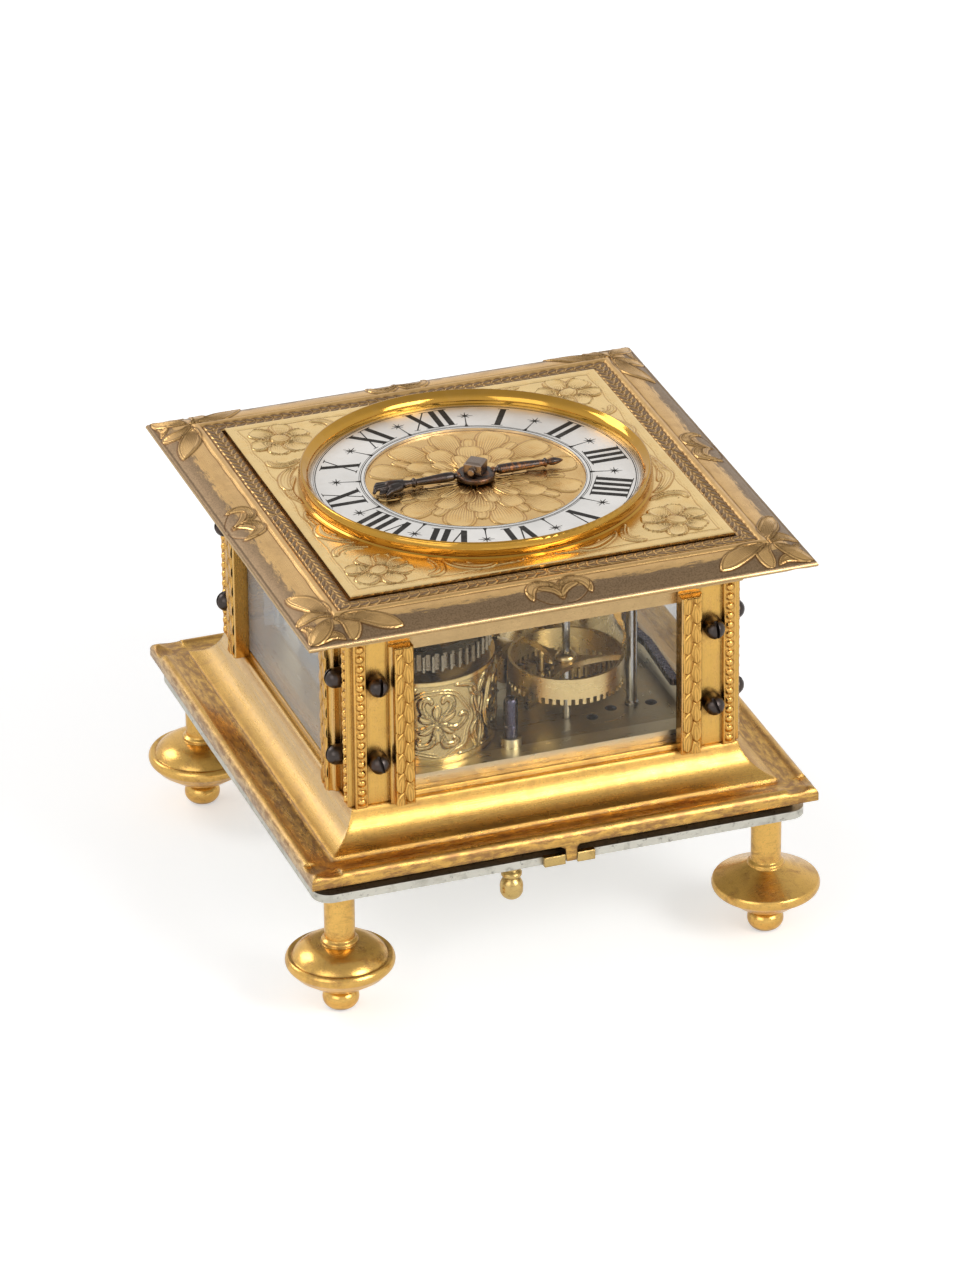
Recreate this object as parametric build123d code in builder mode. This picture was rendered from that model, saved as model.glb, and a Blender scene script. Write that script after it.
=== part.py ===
from build123d import *
import math
import os

os.makedirs("parts", exist_ok=True)

# A square table clock that lies flat, dial upwards, on four turned feet. Millimetres, +Z up,
# XII towards +Y and III towards +X. The origin is on the table, under the middle of the clock.

# Fits between pieces
fixed_fit = 0.02
running_fit = 0.05
end_play = 0.15
cover_gap = 0.1

# Feet and hinged cover
foot_inset = 7.4
foot_height = 31.2
foot_shaft_radius = 3.5
foot_disc_radius = 12.5
foot_disc_height = 12.8
foot_ball_radius = 4.2
foot_pad_radius = 1.5
foot_tenon_radius = 1.6
cover_side = 117.6
cover_corner_radius = 4.0
cover_thickness = 2.0

# Base moulding
base_lip_overhang = 1.7
base_rim_setback = 2.8
base_rim_height = 2.7
base_lip_thickness = 3.3
base_step_setback = 7.2
base_step_drop = 0.7
base_fillet_height = 0.7
base_height = 14.7
base_top_side = 92.8
base_wall = 4.0
plate_ledge_side = 79.0
sill_height = 0.6
sill_drop = 1.1

# Glazed frame and the mouldings screwed over its corners
frame_side = 89.8
frame_wall = 1.0
body_height = 40.0
top_rail_height = 4.0
post_width = 10.5
column_width = 14.1
column_thickness = 1.0
column_strip_width = 5.4
column_strip_proud = 2.6
column_strip_drop = 1.5
column_bead_width = 2.95
column_bead_proud = 0.8
column_groove = 0.45
screw_inset = 5.9
screw_heights = (9.9, 29.3)
screw_slot_turns = (12, -8, 18, 3)
screw_head_radius = 2.35
screw_head_height = 4.4
screw_head_straight = 2.0
screw_shank_radius = 1.0
screw_shank_length = 3.0
screw_slot_width = 0.7
screw_slot_depth = 1.7

# Top moulding and dial
top_soffit_side = 94.0
top_lip_side = 120.0
top_lip_rise = 7.3
top_lip_thickness = 1.0
top_band_side = 98.6
top_band_rise = 10.84
dial_seat_rise = 10.0
dial_ledge_side = 82.0
dial_ledge_thickness = 1.6
dial_plate_side = 90.8
dial_plate_gap = 0.5
dial_plate_thickness = 1.6
bezel_outer_radius = 40.5
bezel_width = 3.0
bezel_height = 4.0
chapter_ring_thickness = 0.8
chapter_ring_inner_radius = 25.2
rosette_thickness = 0.4

# Movement plates and pillars
plate_side = 84.8
lower_plate_thickness = 2.5
upper_plate_thickness = 2.0
pillar_radius = 1.25
pillar_places = ((27.6, -27.4), (34.5, 34.5), (-36.0, 36.5), (-38.0, -38.0))
pivot_radius = 0.6
arbor_radius = 0.8

# Tooth counts and modules of the going and striking trains
motion_wheel_teeth = 40
motion_pinion_teeth = 10
motion_module = 0.84
great_wheel_teeth = 60
second_pinion_teeth = 8
great_module = 0.5
second_wheel_teeth = 56
contrate_pinion_teeth = 7
second_module = 0.48
contrate_teeth = 48
crown_pinion_teeth = 6
crown_teeth = 15
strike_wheel_teeth = 48
pin_pinion_teeth = 8
strike_module = 0.668
pin_wheel_teeth = 48
hoop_pinion_teeth = 6
pin_module = 0.42
hoop_wheel_teeth = 36
fly_pinion_teeth = 6
hoop_module = 0.38
lifting_pins = 13

# Places of the arbors in plan
contrate_at = (11.3, -28.6)
strike_at = (-21.9, -22.6)
barrel_at = (-22.0, 23.0)
hammer_at = (-36.0, -6.0)
lever_at = (38.6, 2.0)
fusee_angle = 0.0
pin_wheel_angle = 85.0
hoop_wheel_angle = 20.0
fly_angle = 100.0
crown_arbor_angle = 121.87

# Movement pieces
strike_barrel_radius = 17.2
strike_barrel_height = 21.0
strike_wheel_thickness = 4.0
barrel_wall = 1.0
fusee_base_radius = 14.0
fusee_top_radius = 7.2
fusee_height = 24.0
fusee_grooves = 10
fusee_groove_depth = 0.6
fusee_arbor_radius = 1.6
great_wheel_thickness = 2.4
going_barrel_radius = 12.6
going_barrel_height = 26.0
line_radius = 0.45
spring_strip = 0.5
spring_pitch = 1.15
contrate_rim_radius = 13.25
contrate_rim_wall = 0.7
contrate_wall_height = 5.0
contrate_tooth_height = 1.4
contrate_web_thickness = 1.3
contrate_web_rise = 2.2
crown_radius = 5.0
crown_tooth_depth = 2.4
balance_radius = 11.5
balance_rim = 1.2
balance_thickness = 1.2
bell_radius = 38.0
bell_depth = 7.7
bell_wall = 1.2
stop_post_at = (-4.8, -36.1)
stop_post_radius = 1.65
stop_post_height = 11.4
stop_boss_radius = 2.5
stop_boss_height = 2.2

# Hour hand
hand_shaft_radius = 0.9
hand_arm_reach = 25.2
hand_tail_reach = 21.0
hand_tail_angle = -2.0
hand_clearance = 0.15
hand_disc_radius = 4.5
hand_disc_thickness = 1.6
collar_side = 4.2
collar_height = 2.9
collar_turn = 50.0

# Sides worked out from the sizes above
base_lip_side = cover_side + 2 * base_lip_overhang
base_rim_side = cover_side - 2 * base_rim_setback
base_step_side = base_lip_side - 2 * base_step_setback
bezel_inner_radius = bezel_outer_radius - bezel_width

# Heights worked out from the sizes above
cover_top = foot_height + cover_thickness
base_bottom = cover_top + cover_gap
lip_bottom = base_bottom + base_rim_height
lip_top = lip_bottom + base_lip_thickness
step_top = lip_top - base_step_drop
hollow_low = step_top + base_fillet_height
base_top = base_bottom + base_height
frame_top = base_top + body_height
glass_low = base_top + sill_height
sill_low = base_top - sill_drop
glass_high = frame_top - top_rail_height
dial_seat = frame_top + dial_seat_rise
dial_top = dial_seat + dial_plate_thickness
chapter_top = dial_top + chapter_ring_thickness
lower_top = base_top + lower_plate_thickness
upper_low = frame_top - upper_plate_thickness
frame_half = frame_side / 2
frame_inside = frame_half - frame_wall
column_face = frame_half + column_thickness
strip_face = column_face + column_strip_proud
lip_half = base_lip_side / 2
cover_half = cover_side / 2

# Wheel teeth as shares of the module and of the pitch: (addendum, dedendum, root, pitch, tip)
wheel_form = (0.70, 1.0, 0.24, 0.22, 0.12)
pinion_form = (0.30, 1.0, 0.19, 0.19, 0.12)


def polar(centre, radius, degrees):
    """The point at a distance and bearing from a centre in plan."""
    turn_by = math.radians(degrees)
    return (centre[0] + radius * math.cos(turn_by), centre[1] + radius * math.sin(turn_by))


def mesh_distance(wheel, pinion, module):
    """The distance between the arbors of a wheel and its pinion."""
    return (wheel + pinion) * module / 2


def where_two_reach(first, reach_first, second, reach_second):
    """The point at one distance from first and another from second, on the left of first to second."""
    across = (second[0] - first[0], second[1] - first[1])
    apart = math.hypot(*across)
    along = (reach_first**2 - reach_second**2 + apart**2) / (2 * apart)
    aside = math.sqrt(reach_first**2 - along**2)
    unit = (across[0] / apart, across[1] / apart)
    return (
        first[0] + along * unit[0] + aside * unit[1],
        first[1] + along * unit[1] - aside * unit[0],
    )


def outline(points):
    """Draws a closed outline: (x, y) ends a straight side, (mid x, mid y, x, y) ends an arc."""
    for before, point in zip([points[-1], *points[:-1]], points):
        start = before[-2:]
        if len(point) == 4:
            ThreePointArc(start, point[:2], point[2:])
        else:
            Line(start, point)


def dome(reach, foot, rise):
    """The arc from (reach, foot) up to the axis, level at its top."""
    curve = (reach**2 + rise**2) / (2 * rise)
    half_angle = math.asin(reach / curve) / 2
    top = foot + rise
    return (curve * math.sin(half_angle), top - curve * (1 - math.cos(half_angle)), 0, top)


def turn(at, points, mode=Mode.ADD):
    """A round solid about the upright line at a place in plan, from (radius, height) points."""
    plane = Plane(origin=(at[0], at[1], 0), x_dir=(1, 0, 0), z_dir=(0, -1, 0))
    with BuildSketch(plane) as profile:
        with BuildLine():
            outline(points)
        make_face()
    revolve(profile.sketch, axis=Axis((at[0], at[1], 0), (0, 0, 1)), mode=mode)


def square_turn(points, mode=Mode.ADD):
    """A solid with the same (half side, height) outline on all four sides, mitred at the corners."""
    reach = max(point[-2] for point in points) + 1
    closed = [(0, points[0][-1]), *points, (0, points[-1][-1])]
    sides = []
    for plane in (Plane.XZ, Plane.YZ):
        with BuildSketch(plane) as profile:
            with BuildLine():
                outline(closed)
            make_face()
            mirror(about=Plane.YZ)
        sides.append(extrude(profile.sketch, amount=reach, both=True, mode=Mode.PRIVATE))
    add(sides[0] & sides[1], mode=mode)


def block(low, high, mode=Mode.ADD):
    """A box between two corners."""
    with Locations([tuple((a + b) / 2 for a, b in zip(low, high))]):
        Box(*(b - a for a, b in zip(low, high)), mode=mode)


def bar(at, radius, low, high, mode=Mode.ADD):
    """An upright round bar or hole between two heights."""
    with Locations((at[0], at[1], low)):
        Cylinder(radius, high - low, align=(Align.CENTER, Align.CENTER, Align.MIN), mode=mode)


def gear_points(at, teeth, module, form, first=0.0):
    """The outline of a wheel or pinion with straight-sided teeth; first turns it, in pitches."""
    addendum, dedendum, root, pitch, tip = form
    radius = teeth * module / 2
    corners = (
        (radius - dedendum * module, -root),
        (radius, -pitch),
        (radius + addendum * module, -tip),
        (radius + addendum * module, tip),
        (radius, pitch),
        (radius - dedendum * module, root),
    )
    return [
        polar(at, reach, 360 * (tooth + first + aside) / teeth)
        for tooth in range(teeth)
        for reach, aside in corners
    ]


def gear(at, teeth, module, form, low, high, first=0.0):
    """A solid wheel or pinion between two heights."""
    with BuildSketch(Plane.XY.offset(low)) as face:
        with BuildLine():
            Polyline(*gear_points(at, teeth, module, form, first), close=True)
        make_face()
    extrude(face.sketch, amount=high - low)


def crossings(at, rim, hub, arms, arm_width, low, high):
    """Cuts the windows between a wheel's rim and hub, leaving straight arms."""
    with BuildSketch(Plane.XY.offset(low)) as windows:
        with Locations(at):
            Circle(rim)
            Circle(hub, mode=Mode.SUBTRACT)
            for arm in range(arms):
                with Locations(Location((0, 0, 0), (0, 0, 360 * arm / arms))):
                    Rectangle(rim + 1, arm_width, align=(Align.MIN, Align.CENTER), mode=Mode.SUBTRACT)
    extrude(windows.sketch, amount=high - low, mode=Mode.SUBTRACT)


def arbor(at, radius, low=None, high=None):
    """A steel arbor between the plates, with a pivot through each."""
    bottom = base_top if low is None else low
    top = frame_top if high is None else high
    turn(
        at,
        [
            (0, bottom),
            (pivot_radius, bottom),
            (pivot_radius, lower_top + end_play),
            (radius, lower_top + end_play),
            (radius, upper_low - end_play),
            (pivot_radius, upper_low - end_play),
            (pivot_radius, top),
            (0, top),
        ],
    )


def mesh_phase(bearing, wheel_teeth, wheel_first, pinion_teeth):
    """The first of a pinion that puts a gap opposite the wheel's nearest tooth, in pitches."""
    wheel_turn = bearing / 360 * wheel_teeth - wheel_first
    off_tooth = wheel_turn - round(wheel_turn)
    facing = (bearing + 180) / 360 * pinion_teeth
    return facing + 0.5 + off_tooth


def bearing_from(first, second):
    """The bearing of the second place from the first, in degrees."""
    return math.degrees(math.atan2(second[1] - first[1], second[0] - first[0]))


# Arbor places that follow from the tooth counts
fusee_at = polar((0, 0), mesh_distance(motion_wheel_teeth, motion_pinion_teeth, motion_module), fusee_angle)
second_at = where_two_reach(
    fusee_at,
    mesh_distance(great_wheel_teeth, second_pinion_teeth, great_module),
    contrate_at,
    mesh_distance(second_wheel_teeth, contrate_pinion_teeth, second_module),
)
pin_wheel_at = polar(
    strike_at, mesh_distance(strike_wheel_teeth, pin_pinion_teeth, strike_module), pin_wheel_angle
)
hoop_wheel_at = polar(
    pin_wheel_at, mesh_distance(pin_wheel_teeth, hoop_pinion_teeth, pin_module), hoop_wheel_angle
)
fly_at = polar(hoop_wheel_at, mesh_distance(hoop_wheel_teeth, fly_pinion_teeth, hoop_module), fly_angle)

# Contrate wheel and the crown arbor that lies level under its rim
contrate_top = lower_top + 16.6
contrate_wall_low = contrate_top - contrate_wall_height
contrate_tips = contrate_wall_low - contrate_tooth_height
contrate_pitch_radius = contrate_rim_radius - contrate_rim_wall / 2
contrate_module = 2 * contrate_pitch_radius / contrate_teeth
crown_pinion_radius = crown_pinion_teeth * contrate_module / 2
crown_axis_height = contrate_tips + 0.5 * contrate_module - crown_pinion_radius
crown_line = Plane(
    origin=(contrate_at[0], contrate_at[1], crown_axis_height),
    x_dir=(-math.sin(math.radians(crown_arbor_angle)), math.cos(math.radians(crown_arbor_angle)), 0),
    z_dir=(math.cos(math.radians(crown_arbor_angle)), math.sin(math.radians(crown_arbor_angle)), 0),
)
inner_bracket_reach = 9.6
bracket_thickness = 1.4
outer_bracket_reach = contrate_rim_radius + 1.5
crown_web_reach = outer_bracket_reach + bracket_thickness + 0.6
crown_web_thickness = 0.8
crown_tip_reach = crown_web_reach + crown_web_thickness + crown_tooth_depth
verge_reach = crown_tip_reach + 1.4
verge_at = polar(contrate_at, verge_reach, crown_arbor_angle)

# Heights in the movement
strike_barrel_low = lower_top
strike_barrel_high = strike_barrel_low + strike_barrel_height
strike_wheel_low = strike_barrel_high + 2.2
strike_wheel_high = strike_wheel_low + strike_wheel_thickness
great_wheel_low = lower_top + 2.0
great_wheel_high = great_wheel_low + great_wheel_thickness
fusee_high = great_wheel_high + fusee_height
second_wheel_low = fusee_high + 2.0
pin_wheel_low = strike_wheel_high + 2.2
hoop_wheel_low = strike_barrel_high - 1.0
balance_high = base_top - 1.6
balance_low = balance_high - balance_thickness
cock_high = balance_low - 0.6
cock_low = cock_high - 1.2
motion_low = frame_top + 1.0
motion_high = motion_low + 1.5


# Feet: two with a domed disc, as at the front left and back left, and two with a conical one
foot_half = cover_half - foot_inset
foot_corners = {
    "front_left": (-foot_half, -foot_half, True),
    "front_right": (foot_half, -foot_half, False),
    "back_left": (-foot_half, foot_half, True),
    "back_right": (foot_half, foot_half, False),
}


def foot_profile(domed):
    """The (radius, height) outline of a foot, from its pad up to the tenon in the cover."""
    ball_middle = 2.6
    disc_low = foot_disc_height - 7.3
    disc_high = foot_disc_height + 4.2
    collar = foot_shaft_radius + 0.7
    lower = [
        (0, 0),
        (foot_pad_radius, 0),
        (foot_ball_radius, ball_middle, foot_pad_radius + 1.2, ball_middle * 2),
        (foot_pad_radius + 1.2, disc_low),
        (foot_disc_radius * 0.55, disc_low + 1.4),
    ]
    if domed:
        disc = [
            (foot_disc_radius * 0.86, foot_disc_height - 3.1),
            (foot_disc_radius * 0.94, foot_disc_height - 1.9),
            (foot_disc_radius, foot_disc_height - 0.5, foot_disc_radius * 0.94, foot_disc_height + 0.9),
            (foot_disc_radius * 0.88, foot_disc_height + 0.7),
            (foot_disc_radius * 0.66, foot_disc_height + 3.2, collar + 0.6, disc_high - 0.1),
        ]
    else:
        disc = [
            (foot_disc_radius * 0.88, foot_disc_height - 2.6),
            (foot_disc_radius, foot_disc_height - 0.8, foot_disc_radius * 0.97, foot_disc_height + 0.3),
            (collar + 1.6, disc_high - 0.9),
        ]
    return [
        *lower,
        *disc,
        (collar, disc_high),
        (collar, disc_high + 0.6),
        (foot_shaft_radius, disc_high + 1.2),
        (foot_shaft_radius, foot_height),
        (foot_tenon_radius, foot_height),
        (foot_tenon_radius, cover_top),
        (0, cover_top),
    ]


for corner, (foot_x, foot_y, domed) in foot_corners.items():
    with BuildPart() as foot:
        turn((foot_x, foot_y), foot_profile(domed))
    foot.part.label = f"foot_{corner}"
    export_step(foot.part, f"parts/foot_{corner}.step")

# Hinge at the back edge, between the cover and the base
hinge_y = cover_half - 0.2
hinge_z = (cover_top + lip_bottom) / 2
hinge_knuckle_radius = 1.6
hinge_pin_radius = 0.6
hinge_half = 12.0
hinge_leaf_length = 11.6
hinge_middle_half = 3.8
hinge_notch = hinge_knuckle_radius + 0.2
hinge_line = Plane(origin=(0, hinge_y, hinge_z), x_dir=(0, 1, 0), z_dir=(1, 0, 0))
bell_post_radius = 2.6
bell_stud_radius = 1.2
jaw_gap = (-0.5, 2.4)


def level_bar(plane, radius, start, end, mode=Mode.ADD):
    """A round bar along a plane's normal, from one distance to another."""
    with BuildSketch(plane.offset(start)) as end_face:
        Circle(radius)
    extrude(end_face.sketch, amount=end - start, mode=mode)


# Bottom cover: a flat plate that carries the feet, the bell and half of the hinge
with BuildPart() as bottom_cover:
    with BuildSketch(Plane.XY.offset(foot_height)) as sheet:
        RectangleRounded(cover_side, cover_side, cover_corner_radius)
    extrude(sheet.sketch, amount=cover_thickness)
    block(
        (-hinge_half - 0.2, hinge_y - hinge_notch, foot_height - 1),
        (hinge_half + 0.2, cover_half + 1, cover_top + 1),
        mode=Mode.SUBTRACT,
    )
    for foot_x, foot_y, _ in foot_corners.values():
        bar((foot_x, foot_y), foot_tenon_radius + fixed_fit, foot_height - 1, cover_top + 1, Mode.SUBTRACT)
    bar((0, 0), bell_stud_radius + fixed_fit, foot_height - 1, cover_top + 1, Mode.SUBTRACT)
bottom_cover.part.label = "bottom_cover"
export_step(bottom_cover.part, "parts/bottom_cover.step")

# Pull knob under the front edge of the cover
knob_at = (-12.0, -56.0)
knob_length = 8.7
knob_radius = 2.65
knob_low = foot_height - knob_length
with BuildPart() as pull_knob:
    turn(
        knob_at,
        [
            (0, knob_low),
            (0.6, knob_low),
            (knob_radius * 0.8, knob_low + 0.9, knob_radius, knob_low + 2.8),
            (knob_radius * 0.9, knob_low + 4.6, knob_radius * 0.62, knob_low + 5.6),
            (knob_radius * 0.9, knob_low + 6.2),
            (knob_radius * 0.9, knob_low + 6.9),
            (knob_radius * 0.6, knob_low + 7.6),
            (knob_radius * 0.6, foot_height),
            (0, foot_height),
        ],
    )
pull_knob.part.label = "pull_knob"
export_step(pull_knob.part, "parts/pull_knob.step")

# Two spring jaws on the cover's front edge, which grip the tongue under the base
with BuildPart() as latch_jaws:
    block((jaw_gap[0] - 5.0, -cover_half - 1.4, foot_height), (jaw_gap[0], -cover_half, cover_top + 0.4))
    block((jaw_gap[1], -cover_half - 1.4, foot_height), (jaw_gap[1] + 4.2, -cover_half, cover_top + 0.4))
latch_jaws.part.label = "latch_jaws"
export_step(latch_jaws.part, "parts/latch_jaws.step")

# Bell: a shallow bowl, mouth up, on a post in the middle of the cover
bell_low = cover_top + 0.9
bell_high = bell_low + bell_depth
with BuildPart() as bell:
    turn(
        (0, 0),
        [
            (bell_stud_radius + fixed_fit, bell_low),
            (bell_radius * 0.62, bell_low),
            (bell_radius * 0.835, bell_low + bell_depth * 0.27, bell_radius, bell_high),
            (bell_radius - bell_wall, bell_high),
            (bell_radius * 0.805, bell_low + bell_depth * 0.38, bell_radius * 0.6, bell_low + bell_wall),
            (bell_stud_radius + fixed_fit, bell_low + bell_wall),
        ],
    )
bell.part.label = "bell"
export_step(bell.part, "parts/bell.step")

with BuildPart() as bell_post:
    turn(
        (0, 0),
        [
            (0, foot_height),
            (bell_stud_radius, foot_height),
            (bell_stud_radius, cover_top),
            (bell_post_radius, cover_top),
            (bell_post_radius, bell_low),
            (bell_stud_radius, bell_low),
            (bell_stud_radius, bell_low + bell_wall + 2.6),
            (0, bell_low + bell_wall + 2.6),
        ],
    )
    with BuildSketch(Plane.XY.offset(bell_low + bell_wall)) as nut:
        RegularPolygon(2.6, 6)
        Circle(bell_stud_radius + fixed_fit, mode=Mode.SUBTRACT)
    extrude(nut.sketch, amount=1.8)
bell_post.part.label = "bell_post"
export_step(bell_post.part, "parts/bell_post.step")

# Hinge leaf under the cover, with the two outer knuckles
with BuildPart() as cover_hinge_leaf:
    block((-hinge_half, hinge_y - hinge_leaf_length, foot_height - 0.8), (hinge_half, hinge_y - 0.2, foot_height))
    for side in (-1, 1):
        near, far = sorted((side * (hinge_middle_half + 0.2), side * hinge_half))
        block((near, hinge_y - hinge_knuckle_radius, foot_height - 0.8), (far, hinge_y, hinge_z))
        level_bar(hinge_line, hinge_knuckle_radius, near, far)
    level_bar(hinge_line, hinge_pin_radius + fixed_fit, -hinge_half - 1, hinge_half + 1, Mode.SUBTRACT)
cover_hinge_leaf.part.label = "cover_hinge_leaf"
export_step(cover_hinge_leaf.part, "parts/cover_hinge_leaf.step")

with BuildPart() as hinge_pin:
    level_bar(hinge_line, hinge_pin_radius, -hinge_half, hinge_half)
hinge_pin.part.label = "hinge_pin"
export_step(hinge_pin.part, "parts/hinge_pin.step")

with BuildPart() as case_hinge_leaf:
    level_bar(hinge_line, hinge_knuckle_radius, -hinge_middle_half, hinge_middle_half)
    block(
        (-hinge_middle_half, base_rim_side / 2, hinge_z - 0.15),
        (hinge_middle_half, hinge_y, lip_bottom),
    )
    level_bar(hinge_line, hinge_pin_radius + running_fit, -hinge_half, hinge_half, Mode.SUBTRACT)
case_hinge_leaf.part.label = "case_hinge_leaf"
export_step(case_hinge_leaf.part, "parts/case_hinge_leaf.step")

# Base moulding: lip, flat step and long hollow up to the sill that the glass stands on
base_cavity_side = base_step_side - 2 * base_wall
with BuildPart() as base_moulding:
    square_turn(
        [
            (base_rim_side / 2, base_bottom),
            (base_rim_side / 2, lip_bottom),
            (lip_half, lip_bottom),
            (lip_half, lip_bottom + 1.5),
            (lip_half - 0.5, lip_top - 0.5, lip_half - 1.8, lip_top),
            (lip_half - 2.5, lip_top - 0.4),
            (base_step_side / 2 + 2.4, step_top - 0.1, base_step_side / 2, step_top),
            (base_step_side / 2, hollow_low),
            (base_step_side / 2 - 4.6, hollow_low + 2.7, base_top_side / 2, sill_low - 0.3),
            (base_top_side / 2 - 0.3, sill_low),
            (frame_half, sill_low),
            (frame_half, glass_low),
            (frame_inside, glass_low),
            (frame_inside, base_top),
        ]
    )
    square_turn(
        [
            (base_cavity_side / 2, base_bottom - 1),
            (base_cavity_side / 2, step_top - 2.0),
            (plate_ledge_side / 2 + 2.0, base_top - 3.6),
            (plate_ledge_side / 2, base_top - 3.6),
            (plate_ledge_side / 2, glass_low + 1),
        ],
        mode=Mode.SUBTRACT,
    )
    block(
        (-hinge_half - 0.2, hinge_y - hinge_notch, lip_bottom - 1),
        (hinge_half + 0.2, lip_half + 1, hinge_z + hinge_notch),
        mode=Mode.SUBTRACT,
    )
    with BuildSketch(Plane.XZ.offset(cover_half + 0.1)) as tongue:
        with BuildLine():
            Polyline(
                (jaw_gap[0] - 1.6, lip_bottom),
                (jaw_gap[0] + 0.1, lip_bottom - 0.9),
                (jaw_gap[0] + 0.3, foot_height + 0.6),
                (jaw_gap[1] - 0.3, foot_height + 0.6),
                (jaw_gap[1] - 0.1, lip_bottom - 0.9),
                (jaw_gap[1] + 0.6, lip_bottom),
                close=True,
            )
        make_face()
    extrude(tongue.sketch, amount=1.3)
base_moulding.part.label = "base_moulding"
export_step(base_moulding.part, "parts/base_moulding.step")

# Places of the sixteen case screws: two on each face of each corner
screw_at = column_face - screw_inset
screw_levels = [base_top + rise for rise in screw_heights]
face_planes = {
    "front": Plane(origin=(0, 0, 0), x_dir=(1, 0, 0), z_dir=(0, -1, 0)),
    "right": Plane(origin=(0, 0, 0), x_dir=(0, 1, 0), z_dir=(1, 0, 0)),
    "back": Plane(origin=(0, 0, 0), x_dir=(-1, 0, 0), z_dir=(0, 1, 0)),
    "left": Plane(origin=(0, 0, 0), x_dir=(0, -1, 0), z_dir=(-1, 0, 0)),
}
screw_spots = [(side * screw_at, level) for side in (-1, 1) for level in screw_levels]


def face_bars(radius, start, end, mode=Mode.ADD):
    """Round bars or holes at every case screw, from one distance out of the middle to another."""
    for plane in face_planes.values():
        with BuildSketch(plane.offset(start)) as spots:
            with Locations(*screw_spots):
                Circle(radius)
        extrude(spots.sketch, amount=end - start, mode=mode)


# Corner posts of the glazed frame: thin angles behind the mouldings
with BuildPart() as corner_posts:
    for side_x in (-1, 1):
        for side_y in (-1, 1):
            outer = (side_x * frame_half, side_y * frame_half)
            for deep, wide in ((frame_wall, post_width), (post_width, frame_wall)):
                inner = (outer[0] - side_x * deep, outer[1] - side_y * wide)
                block(
                    (min(inner[0], outer[0]), min(inner[1], outer[1]), glass_low),
                    (max(inner[0], outer[0]), max(inner[1], outer[1]), glass_high),
                )
    face_bars(screw_shank_radius + fixed_fit, frame_inside - 1, frame_half + 1, Mode.SUBTRACT)
corner_posts.part.label = "corner_posts"
export_step(corner_posts.part, "parts/corner_posts.step")


def column_leg(flip):
    """Half of a column's plan, along the face towards +Y; flip swaps it onto the other face."""
    strip_low = column_face - column_width
    strip_high = strip_low + column_strip_width
    bead_high = column_face - column_groove
    bead_low = bead_high - column_bead_width
    leg = [
        (frame_half, frame_half),
        (strip_low, frame_half),
        (strip_low, column_face),
        (strip_high, column_face),
        (strip_high, column_face - 0.25),
        (bead_low, column_face - 0.25),
        (bead_low + 0.1, column_face + column_bead_proud),
        (bead_high, column_face + column_bead_proud),
        (bead_high, bead_high),
    ]
    return [(y, x) for x, y in leg] if flip else leg


def column_strip(flip):
    """The plan of the proud strip next to the window."""
    low = column_face - column_width
    high = low + column_strip_width
    strip = [
        (low, column_face - 0.1),
        (low, strip_face - 0.3),
        (low + 0.3, strip_face),
        (high - 0.8, strip_face),
        (high - 0.7, column_face + 1.6, high - 0.3, column_face + 1.2),
        (high, column_face + 1.1),
        (high, column_face - 0.1),
    ]
    return [tuple(v for x, y in zip(p[::2], p[1::2]) for v in (y, x)) for p in strip] if flip else strip


# Corner columns: L-shaped mouldings that stand on the sill of the base
column_turns = {"back_right": 0, "back_left": 90, "front_left": 180, "front_right": 270}
for corner, degrees in column_turns.items():
    heading = (math.cos(math.radians(degrees)), math.sin(math.radians(degrees)), 0)
    with BuildPart() as column:
        for flip in (False, True):
            for plan, top in (
                (column_leg(flip), frame_top),
                (column_strip(flip), frame_top - column_strip_drop),
            ):
                plane = Plane(origin=(0, 0, sill_low), x_dir=heading, z_dir=(0, 0, 1))
                with BuildSketch(plane) as section:
                    with BuildLine():
                        outline(plan)
                    make_face()
                extrude(section.sketch, amount=top - sill_low)
        face_bars(screw_shank_radius + fixed_fit, frame_inside, strip_face + 1, Mode.SUBTRACT)
    column.part.label = f"column_{corner}"
    export_step(column.part, f"parts/column_{corner}.step")

# Sixteen slotted round-head screws
screw_seat = column_face - 0.25
with BuildPart() as case_screws:
    for plane in face_planes.values():
        for (across, level), slot_turn in zip(screw_spots, screw_slot_turns):
            spot = Plane(
                origin=plane.from_local_coords((across, level, screw_seat)),
                x_dir=plane.x_dir,
                z_dir=plane.z_dir,
            )
            upright = Plane(origin=spot.origin, x_dir=spot.x_dir, z_dir=-spot.y_dir)
            with BuildSketch(upright) as half:
                with BuildLine():
                    outline(
                        [
                            (0, -screw_shank_length),
                            (screw_shank_radius, -screw_shank_length),
                            (screw_shank_radius, 0),
                            (screw_head_radius, 0),
                            (screw_head_radius, screw_head_straight),
                            dome(
                                screw_head_radius,
                                screw_head_straight,
                                screw_head_height - screw_head_straight,
                            ),
                        ]
                    )
                make_face()
            revolve(half.sketch, axis=Axis(spot.origin, spot.z_dir))
            with BuildSketch(spot.offset(screw_head_height - screw_slot_depth)) as slot:
                Rectangle(screw_slot_width, 2 * screw_head_radius + 1, rotation=slot_turn)
            extrude(slot.sketch, amount=screw_slot_depth + 1, mode=Mode.SUBTRACT)
case_screws.part.label = "case_screws"
export_step(case_screws.part, "parts/case_screws.step")

# Four panes in the plane of the frame, between the posts, the sill and the top rail
glass_half = frame_half - post_width
for face, plane in face_planes.items():
    with BuildPart() as pane:
        with BuildSketch(plane.offset(frame_inside)) as opening:
            with Locations((0, (glass_low + glass_high) / 2)):
                Rectangle(2 * glass_half, glass_high - glass_low)
        extrude(opening.sketch, amount=frame_wall)
    pane.part.label = f"{face}_glass"
    export_step(pane.part, f"parts/{face}_glass.step")

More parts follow.
